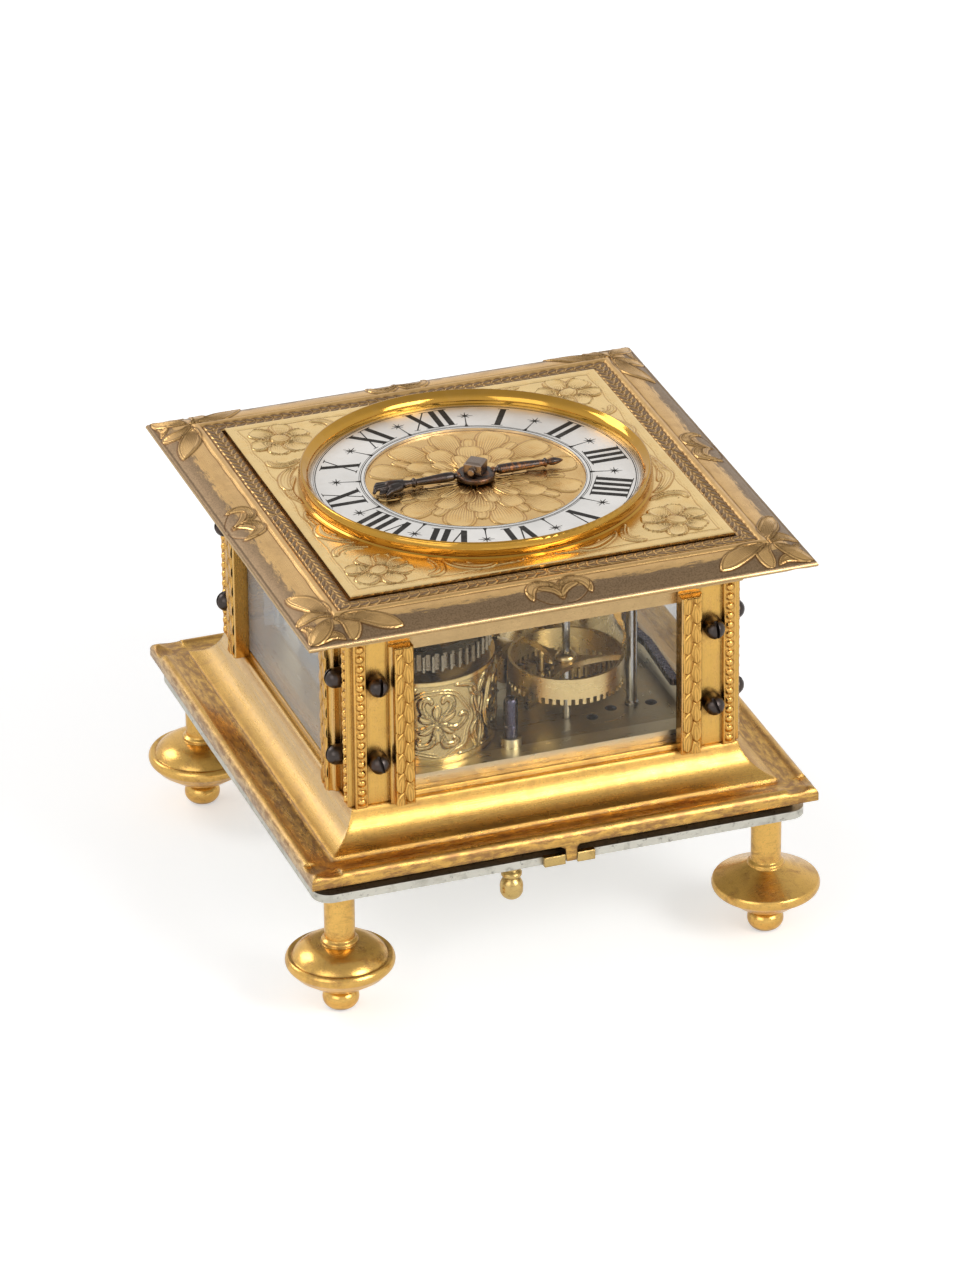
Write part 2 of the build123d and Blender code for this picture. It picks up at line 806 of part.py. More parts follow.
# Top moulding: plain rail, deep hollow, thin lip, ovolo and the band round the dial plate
top_lip_half = top_lip_side / 2
top_lip_low = frame_top + top_lip_rise
top_lip_high = top_lip_low + top_lip_thickness
band_z = frame_top + top_band_rise
band_half = top_band_side / 2
dial_opening = dial_plate_side / 2 + dial_plate_gap
with BuildPart() as top_frame:
    square_turn(
        [
            (frame_half, glass_high),
            (frame_half, frame_top),
            (top_soffit_side / 2, frame_top),
            (top_soffit_side / 2 + 1.6, frame_top + 4.6, top_lip_half - 1.8, top_lip_low - 0.5),
            (top_lip_half - 1.0, top_lip_low - 0.1),
            (top_lip_half - 0.2, top_lip_low + 0.1, top_lip_half, top_lip_low + 0.5),
            (top_lip_half - 0.2, top_lip_high - 0.1, top_lip_half - 1.0, top_lip_high + 0.2),
            (top_lip_half - 4.2, band_z - 0.75, band_half + 2.6, band_z - 0.1),
            (band_half + 2.2, band_z - 0.25),
            (band_half + 1.1, band_z + 0.35, band_half + 0.2, band_z - 0.2),
            (band_half, band_z),
            (dial_opening, band_z),
        ]
    )
    square_turn(
        [
            (frame_inside, glass_high - 1),
            (frame_inside, dial_seat - dial_ledge_thickness),
            (dial_ledge_side / 2, dial_seat - dial_ledge_thickness),
            (dial_ledge_side / 2, dial_seat),
            (dial_opening, dial_seat),
            (dial_opening, band_z + 1),
        ],
        mode=Mode.SUBTRACT,
    )
top_frame.part.label = "top_frame"
export_step(top_frame.part, "parts/top_frame.step")

# Dial plate, bezel, chapter ring and the rosette inside it
hour_pipe_radius = 2.6
dial_hole_radius = hour_pipe_radius + 0.3
with BuildPart() as dial_plate:
    block(
        (-dial_plate_side / 2, -dial_plate_side / 2, dial_seat),
        (dial_plate_side / 2, dial_plate_side / 2, dial_top),
    )
    bar((0, 0), dial_hole_radius, dial_seat - 1, dial_top + 1, Mode.SUBTRACT)
dial_plate.part.label = "dial_plate"
export_step(dial_plate.part, "parts/dial_plate.step")

bezel_top = dial_top + bezel_height
with BuildPart() as dial_bezel:
    turn(
        (0, 0),
        [
            (bezel_inner_radius, dial_top),
            (bezel_outer_radius, dial_top),
            (bezel_outer_radius, dial_top + 0.4),
            (bezel_outer_radius - 0.4, dial_top + 0.7),
            (bezel_outer_radius - 0.15, dial_top + 2.2, bezel_outer_radius - 0.5, bezel_top - 0.5),
            (bezel_outer_radius - 0.7, bezel_top - 0.1, bezel_outer_radius - 1.1, bezel_top),
            (bezel_inner_radius + 1.2, bezel_top - 0.5),
            (bezel_inner_radius + 0.3, bezel_top - 1.5, bezel_inner_radius, chapter_top + 0.3),
        ],
    )
dial_bezel.part.label = "dial_bezel"
export_step(dial_bezel.part, "parts/dial_bezel.step")

with BuildPart() as chapter_ring:
    turn(
        (0, 0),
        [
            (chapter_ring_inner_radius, dial_top),
            (bezel_inner_radius - fixed_fit, dial_top),
            (bezel_inner_radius - fixed_fit, chapter_top),
            (chapter_ring_inner_radius, chapter_top),
        ],
    )
chapter_ring.part.label = "chapter_ring"
export_step(chapter_ring.part, "parts/chapter_ring.step")

with BuildPart() as dial_rosette:
    turn(
        (0, 0),
        [
            (dial_hole_radius, dial_top),
            (chapter_ring_inner_radius - fixed_fit, dial_top),
            (chapter_ring_inner_radius - fixed_fit, dial_top + rosette_thickness),
            (dial_hole_radius, dial_top + rosette_thickness),
        ],
    )
dial_rosette.part.label = "dial_rosette"
export_step(dial_rosette.part, "parts/dial_rosette.step")

# Movement plates, drilled for every arbor
plain_arbors = (second_at, contrate_at, pin_wheel_at, hoop_wheel_at, fly_at, barrel_at)
winding_arbors = (fusee_at, strike_at)
winding_pivot_radius = 1.2
pillar_tenon_radius = 0.8
plate_screw_places = ((16.9, -30.4), (22.4, -27.8), (32.0, -28.3))
plate_screw_radius = 0.6
verge_radius = 0.5
verge_hole_radius = 1.4
lever_pin_radius = 0.9


def plate_holes(low, high):
    """Drills a movement plate for its pivots and pillars."""
    for place in (*plain_arbors, hammer_at):
        bar(place, pivot_radius + running_fit, low, high, Mode.SUBTRACT)
    for place in winding_arbors:
        bar(place, winding_pivot_radius + running_fit, low, high, Mode.SUBTRACT)
    for place in pillar_places:
        bar(place, pillar_tenon_radius + fixed_fit, low, high, Mode.SUBTRACT)


with BuildPart() as lower_plate:
    block((-plate_side / 2, -plate_side / 2, base_top), (plate_side / 2, plate_side / 2, lower_top))
    plate_holes(base_top - 1, lower_top + 1)
    bar(verge_at, verge_hole_radius, base_top - 1, lower_top + 1, Mode.SUBTRACT)
    bar(lever_at, lever_pin_radius + fixed_fit, base_top - 1, lower_top + 1, Mode.SUBTRACT)
    for place in plate_screw_places:
        bar(place, plate_screw_radius + fixed_fit, lower_top - 1.5, lower_top + 1, Mode.SUBTRACT)
    bar(stop_post_at, stop_boss_radius, lower_top, lower_top + stop_boss_height)
lower_plate.part.label = "lower_plate"
export_step(lower_plate.part, "parts/lower_plate.step")

centre_stud_radius = 1.5
with BuildPart() as upper_plate:
    block((-plate_side / 2, -plate_side / 2, upper_low), (plate_side / 2, plate_side / 2, frame_top))
    plate_holes(upper_low - 1, frame_top + 1)
    bar((0, 0), centre_stud_radius + fixed_fit, upper_low - 1, frame_top + 1, Mode.SUBTRACT)
    bar((0, 0), centre_stud_radius, upper_low, dial_top - 0.6)
upper_plate.part.label = "upper_plate"
export_step(upper_plate.part, "parts/upper_plate.step")

# Pillars, each with a shoulder at both plates and a tapered pin over the upper one
with BuildPart() as pillars:
    for place in pillar_places:
        turn(
            place,
            [
                (0, base_top),
                (pillar_tenon_radius, base_top),
                (pillar_tenon_radius, lower_top),
                (pillar_radius + 0.35, lower_top),
                (pillar_radius + 0.35, lower_top + 0.8),
                (pillar_radius, lower_top + 1.2),
                (pillar_radius, upper_low),
                (pillar_tenon_radius, upper_low),
                (pillar_tenon_radius, frame_top + 1.6),
                (0, frame_top + 1.6),
            ],
        )
pillars.part.label = "pillars"
export_step(pillars.part, "parts/pillars.step")

# Blued stop post beside the contrate wheel, with a slanting slot in its round top
with BuildPart() as stop_post:
    post_low = lower_top + stop_boss_height
    turn(
        stop_post_at,
        [
            (0, post_low),
            (stop_post_radius, post_low),
            (stop_post_radius, post_low + 2.6),
            (stop_post_radius - 0.25, post_low + 2.9),
            (stop_post_radius, post_low + 3.2),
            (stop_post_radius, post_low + stop_post_height - 2.9),
            dome(stop_post_radius, post_low + stop_post_height - 2.9, 1.6),
        ],
    )
    slot_plane = Plane(
        origin=(stop_post_at[0] + 0.9, stop_post_at[1], post_low + stop_post_height - 3.0),
        x_dir=(0, 1, 0),
        z_dir=(0.35, 0, 1),
    )
    with BuildSketch(slot_plane) as cut:
        Rectangle(6, 0.7)
    extrude(cut.sketch, amount=5, mode=Mode.SUBTRACT)
stop_post.part.label = "stop_post"
export_step(stop_post.part, "parts/stop_post.step")

# Standing barrel of the striking train with its cap, and the spring inside
strike_cap_thickness = 1.0
strike_bore = strike_barrel_radius - barrel_wall
strike_arbor_radius = 2.4
with BuildPart() as strike_barrel:
    turn(
        strike_at,
        [
            (strike_arbor_radius + 0.4, strike_barrel_low),
            (strike_barrel_radius, strike_barrel_low),
            (strike_barrel_radius, strike_barrel_high),
            (strike_bore, strike_barrel_high),
            (strike_bore, strike_barrel_low + barrel_wall),
            (strike_arbor_radius + 0.4, strike_barrel_low + barrel_wall),
        ],
    )
    turn(
        strike_at,
        [
            (strike_arbor_radius + 0.4, strike_barrel_high - strike_cap_thickness),
            (strike_bore - fixed_fit, strike_barrel_high - strike_cap_thickness),
            (strike_bore - fixed_fit, strike_barrel_high),
            (strike_arbor_radius + 0.4, strike_barrel_high),
        ],
    )
strike_barrel.part.label = "strike_barrel"
export_step(strike_barrel.part, "parts/strike_barrel.step")


def spring_coil(at, inner, outer, low, high):
    """A flat spiral spring of half-turn arcs, from its inner eye to its outer end."""
    half_turns = 2 * int((outer - inner - spring_strip) / spring_pitch)
    step = spring_pitch / 2
    edges = ([], [])
    for edge, extra in zip(edges, (0, spring_strip)):
        edge.append((at[0] + inner + extra, at[1]))
        for count in range(half_turns):
            side = 1 if count % 2 else -1
            reach = inner + extra + step * (count + 1)
            middle = (inner + extra + step * (count + 0.5), step / 2)
            edge.append(
                (
                    at[0] - side * -1 * middle[1] * side,
                    at[1] + (middle[0] if count % 2 == 0 else -middle[0]),
                    at[0] + side * reach,
                    at[1],
                )
            )
    back = [edges[1][-1][-2:]]
    for before, point in zip(edges[1][-2::-1], edges[1][:0:-1]):
        back.append((*point[:2], *before[-2:]))
    with BuildSketch(Plane.XY.offset(low)) as strip:
        with BuildLine():
            outline([edges[0][0], *edges[0][1:], *back])
        make_face()
    extrude(strip.sketch, amount=high - low)


with BuildPart() as strike_mainspring:
    spring_coil(
        strike_at,
        strike_arbor_radius + 0.3,
        strike_bore - 0.3,
        strike_barrel_low + barrel_wall + 0.5,
        strike_barrel_high - strike_cap_thickness - 0.5,
    )
strike_mainspring.part.label = "strike_mainspring"
export_step(strike_mainspring.part, "parts/strike_mainspring.step")

# Striking great wheel over the standing barrel, with the count wheel above the upper plate
strike_hub_radius = 4.0
with BuildPart() as strike_great_wheel:
    gear(strike_at, strike_wheel_teeth, strike_module, wheel_form, strike_wheel_low, strike_wheel_high)
    crossings(
        strike_at,
        strike_wheel_teeth * strike_module / 2 - 3.2,
        strike_hub_radius,
        4,
        2.2,
        strike_wheel_low - 1,
        strike_wheel_high + 1,
    )
    bar(
        strike_at,
        strike_arbor_radius - 0.6 + fixed_fit,
        strike_wheel_low - 1,
        strike_wheel_high + 1,
        Mode.SUBTRACT,
    )
strike_great_wheel.part.label = "strike_great_wheel"
export_step(strike_great_wheel.part, "parts/strike_great_wheel.step")

# Count wheel: twelve notches, each further on by one more blow than the last
count_wheel_radius = 12.6
count_notch_depth = 2.2
count_low = frame_top + 1.0
count_high = count_low + 1.2
blows_in_a_turn = sum(range(1, 13))
with BuildPart() as count_wheel:
    bar(strike_at, count_wheel_radius, count_low, count_high)
    with BuildSketch(Plane.XY.offset(count_low - 1)) as notches:
        for hour in range(1, 13):
            notch_turn = 360 * sum(range(1, hour + 1)) / blows_in_a_turn
            with Locations(Location((strike_at[0], strike_at[1], 0), (0, 0, notch_turn))):
                with Locations((count_wheel_radius - count_notch_depth / 2 + 0.5, 0)):
                    Rectangle(count_notch_depth + 1, 1.6)
    extrude(notches.sketch, amount=4, mode=Mode.SUBTRACT)
    bar(strike_at, winding_pivot_radius + fixed_fit, count_low - 1, count_high + 1, Mode.SUBTRACT)
count_wheel.part.label = "count_wheel"
export_step(count_wheel.part, "parts/count_wheel.step")

winding_square = 1.6
winding_square_low = base_top - 3.6


def winding_arbor(at, radius, wheel_seat_low, wheel_seat_high, seat_radius, top):
    """An arbor with a winding square below the lower plate and a seat for its great wheel."""
    turn(
        at,
        [
            (0, base_top - 0.4),
            (winding_pivot_radius, base_top - 0.4),
            (winding_pivot_radius, lower_top + end_play),
            (radius, lower_top + end_play),
            (radius, wheel_seat_low),
            (seat_radius, wheel_seat_low),
            (seat_radius, wheel_seat_high),
            (seat_radius, upper_low - end_play),
            (winding_pivot_radius, upper_low - end_play),
            (winding_pivot_radius, top),
            (0, top),
        ],
    )
    half = winding_square / 2
    block(
        (at[0] - half, at[1] - half, winding_square_low),
        (at[0] + half, at[1] + half, base_top),
    )


with BuildPart() as strike_arbor:
    winding_arbor(
        strike_at,
        strike_arbor_radius,
        strike_wheel_low,
        strike_wheel_high,
        strike_arbor_radius - 0.6,
        count_high + 0.5,
    )
strike_arbor.part.label = "strike_arbor"
export_step(strike_arbor.part, "parts/strike_arbor.step")

# Pin wheel: its pins hang from the rim and lift the hammer tail
pin_bearing = bearing_from(strike_at, pin_wheel_at)
pin_first = mesh_phase(pin_bearing, strike_wheel_teeth, 0, pin_pinion_teeth)
pin_circle = pin_wheel_teeth * pin_module / 2 - 1.6
with BuildPart() as pin_wheel:
    arbor(pin_wheel_at, arbor_radius)
    gear(
        pin_wheel_at,
        pin_pinion_teeth,
        strike_module,
        pinion_form,
        strike_wheel_low - 0.4,
        strike_wheel_high + 0.4,
        pin_first,
    )
    gear(pin_wheel_at, pin_wheel_teeth, pin_module, wheel_form, pin_wheel_low, pin_wheel_low + 1.2)
    crossings(pin_wheel_at, pin_circle - 1.0, 2.0, 4, 1.4, pin_wheel_low - 0.1, pin_wheel_low + 1.3)
    with BuildSketch(Plane.XY.offset(pin_wheel_low - 1.4)) as pins:
        with Locations(pin_wheel_at):
            with PolarLocations(pin_circle, lifting_pins):
                Circle(0.4)
    extrude(pins.sketch, amount=1.5)
pin_wheel.part.label = "pin_wheel"
export_step(pin_wheel.part, "parts/pin_wheel.step")

# Hoop wheel and fly
hoop_bearing = bearing_from(pin_wheel_at, hoop_wheel_at)
hoop_first = mesh_phase(hoop_bearing, pin_wheel_teeth, 0, hoop_pinion_teeth)
with BuildPart() as hoop_wheel:
    arbor(hoop_wheel_at, arbor_radius)
    gear(
        hoop_wheel_at,
        hoop_pinion_teeth,
        pin_module,
        pinion_form,
        pin_wheel_low - 0.4,
        pin_wheel_low + 1.6,
        hoop_first,
    )
    gear(hoop_wheel_at, hoop_wheel_teeth, hoop_module, wheel_form, hoop_wheel_low, hoop_wheel_low + 1.0)
    crossings(
        hoop_wheel_at,
        hoop_wheel_teeth * hoop_module / 2 - 1.4,
        1.8,
        4,
        1.2,
        hoop_wheel_low - 0.1,
        hoop_wheel_low + 1.1,
    )
hoop_wheel.part.label = "hoop_wheel"
export_step(hoop_wheel.part, "parts/hoop_wheel.step")

fly_bearing = bearing_from(hoop_wheel_at, fly_at)
fly_first = mesh_phase(fly_bearing, hoop_wheel_teeth, 0, fly_pinion_teeth)
fly_low = hoop_wheel_low + 3.2
with BuildPart() as fly:
    arbor(fly_at, 0.7)
    gear(
        fly_at,
        fly_pinion_teeth,
        hoop_module,
        pinion_form,
        hoop_wheel_low - 0.4,
        hoop_wheel_low + 1.4,
        fly_first,
    )
    block((fly_at[0] - 5.0, fly_at[1] - 0.25, fly_low), (fly_at[0] + 5.0, fly_at[1] + 0.25, fly_low + 5.0))
fly.part.label = "fly"
export_step(fly.part, "parts/fly.step")

# Hammer: arbor, tail beside the lifting pins, and the arm and head over the bell
hammer_tail_low = pin_wheel_low - 1.3
hammer_tail_reach = math.dist(hammer_at, pin_wheel_at) - pin_circle - 0.9
hammer_tail_bearing = bearing_from(hammer_at, pin_wheel_at)
hammer_head_at = (-27.0, 15.0)
hammer_arm_high = base_top - 0.6
hammer_arm_low = hammer_arm_high - 1.4
hammer_head_low = bell_high - 2.0
hammer_head_radius = 2.2


def lever_arm(start, end, width, low, high):
    """A flat arm between two places in plan, round at both ends."""
    length = math.dist(start, end)
    plane = Plane(
        origin=(start[0], start[1], low),
        x_dir=(end[0] - start[0], end[1] - start[1], 0),
        z_dir=(0, 0, 1),
    )
    with BuildSketch(plane) as arm:
        with Locations((length / 2, 0)):
            SlotCenterToCenter(length, width)
    extrude(arm.sketch, amount=high - low)


with BuildPart() as hammer:
    arbor(hammer_at, arbor_radius, low=hammer_arm_low)
    lever_arm(
        hammer_at,
        polar(hammer_at, hammer_tail_reach - 0.6, hammer_tail_bearing),
        1.2,
        hammer_tail_low,
        hammer_tail_low + 1.0,
    )
    lever_arm(hammer_at, hammer_head_at, 2.2, hammer_arm_low, hammer_arm_high)
    bar(hammer_head_at, hammer_head_radius, hammer_head_low, hammer_arm_low)
hammer.part.label = "hammer"
export_step(hammer.part, "parts/hammer.step")

# Bent steel detent lever along the right side, on its pin
lever_low = lower_top + 2.2
lever_high = lever_low + 1.6
lever_bend = (lever_at[0] + 1.0, lever_at[1] - 8.0)
lever_end = (lever_at[0], lever_at[1] - 27.6)
lever_tail = (lever_at[0] + 1.0, lever_at[1] + 7.0)
lever_points = (lever_at, lever_bend, lever_end)
with BuildPart() as strike_lever:
    for start, end in zip(lever_points, lever_points[1:]):
        lever_arm(start, end, 2.0, lever_low, lever_high)
    lever_arm(lever_at, lever_tail, 1.6, lever_low, lever_high)
    bar(lever_at, 1.6, lower_top + end_play, lever_high + 0.6)
    bar(lever_at, 1.3, lever_high, lever_high + 2.4)
    bar(lever_at, lever_pin_radius - running_fit, base_top, lower_top + 1)
strike_lever.part.label = "strike_lever"
export_step(strike_lever.part, "parts/strike_lever.step")

# Fusee, its great wheel and its arbor
groove_pitch = (fusee_height - 1.6) / fusee_grooves
fusee_profile = [(fusee_arbor_radius + fixed_fit, great_wheel_high), (fusee_base_radius + 0.5, great_wheel_high)]
fusee_profile.append((fusee_base_radius + 0.5, great_wheel_high + 0.8))
for groove in range(fusee_grooves + 1):
    share = groove / fusee_grooves
    groove_radius = fusee_base_radius / (1 + share * (fusee_base_radius / fusee_top_radius - 1))
    level = great_wheel_high + 0.8 + groove * groove_pitch
    fusee_profile.append((groove_radius, level))
    if groove < fusee_grooves:
        fusee_profile.append((groove_radius - fusee_groove_depth, level + groove_pitch / 2))
fusee_profile.append((fusee_top_radius + 0.6, fusee_high - 0.8))
fusee_profile.append((fusee_top_radius + 0.6, fusee_high))
fusee_profile.append((fusee_arbor_radius + fixed_fit, fusee_high))
with BuildPart() as fusee:
    turn(fusee_at, fusee_profile)
fusee.part.label = "fusee"
export_step(fusee.part, "parts/fusee.step")

with BuildPart() as going_great_wheel:
    gear(fusee_at, great_wheel_teeth, great_module, wheel_form, great_wheel_low, great_wheel_high)
    bar(
        fusee_at,
        fusee_arbor_radius + fixed_fit,
        great_wheel_low - 1,
        great_wheel_high + 1,
        Mode.SUBTRACT,
    )
going_great_wheel.part.label = "going_great_wheel"
export_step(going_great_wheel.part, "parts/going_great_wheel.step")

motion_bearing = bearing_from((0, 0), fusee_at)
motion_first = mesh_phase(motion_bearing, motion_wheel_teeth, 0, motion_pinion_teeth)
with BuildPart() as fusee_arbor:
    winding_arbor(
        fusee_at,
        fusee_arbor_radius + 0.8,
        great_wheel_low,
        great_wheel_high,
        fusee_arbor_radius,
        motion_high + 0.6,
    )
    gear(
        fusee_at,
        motion_pinion_teeth,
        motion_module,
        pinion_form,
        motion_low - 0.4,
        motion_high + 0.4,
        motion_first,
    )
fusee_arbor.part.label = "fusee_arbor"
export_step(fusee_arbor.part, "parts/fusee_arbor.step")

# Second wheel and its pinion
second_first = mesh_phase(bearing_from(fusee_at, second_at), great_wheel_teeth, 0, second_pinion_teeth)
with BuildPart() as second_wheel:
    arbor(second_at, arbor_radius)
    gear(
        second_at,
        second_pinion_teeth,
        great_module,
        pinion_form,
        great_wheel_low - 0.4,
        great_wheel_high + 0.4,
        second_first,
    )
    gear(second_at, second_wheel_teeth, second_module, wheel_form, second_wheel_low, second_wheel_low + 1.2)
    crossings(
        second_at,
        second_wheel_teeth * second_module / 2 - 1.8,
        2.2,
        4,
        1.6,
        second_wheel_low - 0.1,
        second_wheel_low + 1.3,
    )
second_wheel.part.label = "second_wheel"
export_step(second_wheel.part, "parts/second_wheel.step")

# Contrate wheel: a deep rim with teeth underneath, and a web with three hollow sides
web_low = contrate_wall_low + contrate_web_rise
web_high = web_low + contrate_web_thickness
contrate_bore = contrate_rim_radius - contrate_rim_wall
web_waist = 2.9
web_tip_half_angle = 58.0
window_bearings = (-70.0, 50.0, 170.0)
window_centre = (contrate_bore**2 - web_waist**2) / (
    2 * (contrate_bore * math.cos(math.radians(web_tip_half_angle)) - web_waist)
)
contrate_arbor_radius = 0.9
with BuildPart() as contrate_wheel:
    with BuildSketch(Plane.XY.offset(contrate_tips)) as rim:
        with Locations(contrate_at):
            Circle(contrate_rim_radius)
            Circle(contrate_bore, mode=Mode.SUBTRACT)
    extrude(rim.sketch, amount=contrate_top - contrate_tips)
    with Locations((contrate_at[0], contrate_at[1], contrate_tips + contrate_tooth_height / 2 - 0.5)):
        with PolarLocations(contrate_pitch_radius, contrate_teeth, start_angle=crown_arbor_angle):
            Box(
                contrate_rim_wall + 1,
                0.54 * math.pi * contrate_module,
                contrate_tooth_height + 1,
                mode=Mode.SUBTRACT,
            )
    with BuildSketch(Plane.XY.offset(web_low)) as web:
        with Locations(contrate_at):
            Circle(contrate_bore + 0.1)
        for bearing in window_bearings:
            with Locations(polar(contrate_at, window_centre, bearing)):
                Circle(window_centre - web_waist, mode=Mode.SUBTRACT)
    extrude(web.sketch, amount=contrate_web_thickness)
    turn(
        contrate_at,
        [
            (0, web_high - 0.1),
            (2.5, web_high - 0.1),
            (2.2, web_high + 1.3, 1.2, web_high + 1.9),
            (0, web_high + 1.9),
        ],
    )
    bar(contrate_at, contrate_arbor_radius + fixed_fit, web_low - 1, web_high + 3, Mode.SUBTRACT)
contrate_wheel.part.label = "contrate_wheel"
export_step(contrate_wheel.part, "parts/contrate_wheel.step")

contrate_first = mesh_phase(
    bearing_from(second_at, contrate_at), second_wheel_teeth, 0, contrate_pinion_teeth
)
with BuildPart() as contrate_arbor:
    arbor(contrate_at, contrate_arbor_radius)
    gear(
        contrate_at,
        contrate_pinion_teeth,
        second_module,
        pinion_form,
        second_wheel_low - 0.4,
        second_wheel_low + 1.6,
        contrate_first,
    )
contrate_arbor.part.label = "contrate_arbor"
export_step(contrate_arbor.part, "parts/contrate_arbor.step")

# Crown wheel on its level arbor, with the pinion under the contrate rim
crown_pivot_radius = 0.4
crown_arbor_radius = 0.6
crown_pinion_start = contrate_bore - 0.8
crown_pinion_end = contrate_rim_radius + 0.8
with BuildPart() as crown_wheel:
    level_bar(crown_line, crown_pivot_radius, inner_bracket_reach, crown_web_reach + 0.1)
    level_bar(
        crown_line,
        crown_arbor_radius,
        inner_bracket_reach + bracket_thickness + end_play,
        outer_bracket_reach - end_play,
    )
    with BuildSketch(crown_line.offset(crown_pinion_start)) as leaves:
        with BuildLine():
            Polyline(
                *gear_points((0, 0), crown_pinion_teeth, contrate_module, pinion_form, 0.5),
                close=True,
            )
        make_face()
    extrude(leaves.sketch, amount=crown_pinion_end - crown_pinion_start)
    level_bar(crown_line, crown_radius, crown_web_reach, crown_web_reach + crown_web_thickness)
    level_bar(crown_line, crown_radius, crown_web_reach, crown_tip_reach)
    level_bar(
        crown_line,
        crown_radius - 0.8,
        crown_web_reach + crown_web_thickness,
        crown_tip_reach + 1,
        Mode.SUBTRACT,
    )
    tooth_arc = 2 * math.pi * crown_radius / crown_teeth
    for tooth in range(crown_teeth):
        facing = crown_line.rotated((0, 0, 360 * tooth / crown_teeth))
        cutter = Plane(
            origin=facing.from_local_coords((0, -crown_radius - 1, crown_tip_reach)),
            x_dir=facing.x_dir,
            z_dir=facing.y_dir,
        )
        with BuildSketch(cutter) as gap:
            with BuildLine():
                Polyline(
                    (-tooth_arc * 0.5, -0.6),
                    (tooth_arc * 0.36, -0.6),
                    (tooth_arc * 0.36, 0),
                    (-tooth_arc * 0.38, crown_tooth_depth - 0.4),
                    (-tooth_arc * 0.5, crown_tooth_depth - 0.4),
                    close=True,
                )
            make_face()
        extrude(gap.sketch, amount=3.0, mode=Mode.SUBTRACT)
crown_wheel.part.label = "crown_wheel"
export_step(crown_wheel.part, "parts/crown_wheel.step")

# Brackets on the lower plate: two for the crown arbor, one over the verge
bracket_half = 1.8
bridge_reach = verge_reach + 2.6
bridge_foot = 2.4
bridge_low = crown_axis_height + crown_radius + 1.0
bridge_high = bridge_low + 1.4
with BuildPart() as escapement_brackets:
    for reach in (inner_bracket_reach, outer_bracket_reach):
        with BuildSketch(crown_line.offset(reach)) as bracket:
            with BuildLine():
                Polyline(
                    (-bracket_half, lower_top - crown_axis_height),
                    (bracket_half, lower_top - crown_axis_height),
                    (bracket_half * 0.6, 1.3),
                    (-bracket_half * 0.6, 1.3),
                    close=True,
                )
            make_face()
            Circle(crown_pivot_radius + running_fit, mode=Mode.SUBTRACT)
        extrude(bracket.sketch, amount=bracket_thickness)
    with BuildSketch(crown_line.offset(bridge_reach)) as bridge_leg:
        with BuildLine():
            Polyline(
                (-bracket_half, lower_top - crown_axis_height),
                (bracket_half, lower_top - crown_axis_height),
                (bracket_half, bridge_high - crown_axis_height),
                (-bracket_half, bridge_high - crown_axis_height),
                close=True,
            )
        make_face()
    extrude(bridge_leg.sketch, amount=bridge_foot)
    lever_arm(
        verge_at,
        polar(contrate_at, bridge_reach + bridge_foot / 2, crown_arbor_angle),
        2 * bracket_half,
        bridge_low,
        bridge_high,
    )
    bar(verge_at, verge_radius - 0.1 + running_fit, bridge_low - 1, bridge_high + 1, Mode.SUBTRACT)
escapement_brackets.part.label = "escapement_brackets"
export_step(escapement_brackets.part, "parts/escapement_brackets.step")

# Verge with its two pallets, and the balance that it carries below the plate
pallet_length = verge_reach - crown_tip_reach - 0.3
pallet_reach = crown_radius - 0.4
verge_pivot_radius = verge_radius - 0.1
with BuildPart() as verge:
    turn(
        verge_at,
        [
            (0, cock_low),
            (verge_pivot_radius, cock_low),
            (verge_pivot_radius, cock_high + end_play),
            (verge_radius, cock_high + end_play),
            (verge_radius, bridge_low - end_play),
            (verge_pivot_radius, bridge_low - end_play),
            (verge_pivot_radius, bridge_high),
            (0, bridge_high),
        ],
    )
    for level, bearing in ((pallet_reach, 50), (-pallet_reach, -50)):
        tip = polar(verge_at, pallet_length - 0.35, crown_arbor_angle + 180 + bearing)
        lever_arm(verge_at, tip, 0.7, crown_axis_height + level - 0.7, crown_axis_height + level + 0.7)
verge.part.label = "verge"
export_step(verge.part, "parts/verge.step")

with BuildPart() as balance_wheel:
    bar(verge_at, balance_radius, balance_low, balance_high)
    crossings(
        verge_at,
        balance_radius - balance_rim,
        2.0,
        2,
        1.8,
        balance_low - 1,
        balance_high + 1,
    )
    bar(verge_at, verge_radius + fixed_fit, balance_low - 1, balance_high + 1, Mode.SUBTRACT)
balance_wheel.part.label = "balance_wheel"
export_step(balance_wheel.part, "parts/balance_wheel.step")

# Balance cock under the lower plate
cock_foot_at = (verge_at[0], verge_at[1] + balance_radius + 4.6)
cock_width = 4.4
with BuildPart() as balance_cock:
    lever_arm(verge_at, cock_foot_at, cock_width, cock_low, cock_high)
    block(
        (cock_foot_at[0] - cock_width / 2, cock_foot_at[1] - 3.0, cock_low),
        (cock_foot_at[0] + cock_width / 2, cock_foot_at[1] + 3.0, base_top),
    )
    bar(verge_at, verge_pivot_radius + running_fit, cock_low - 1, cock_high + 1, Mode.SUBTRACT)
balance_cock.part.label = "balance_cock"
export_step(balance_cock.part, "parts/balance_cock.step")

# Small round-head screws in the lower plate
with BuildPart() as movement_screws:
    for place in plate_screw_places:
        turn(
            place,
            [
                (0, lower_top - 1.5),
                (plate_screw_radius, lower_top - 1.5),
                (plate_screw_radius, lower_top),
                (1.4, lower_top),
                dome(1.4, lower_top, 0.5),
            ],
        )
movement_screws.part.label = "movement_screws"
export_step(movement_screws.part, "parts/movement_screws.step")

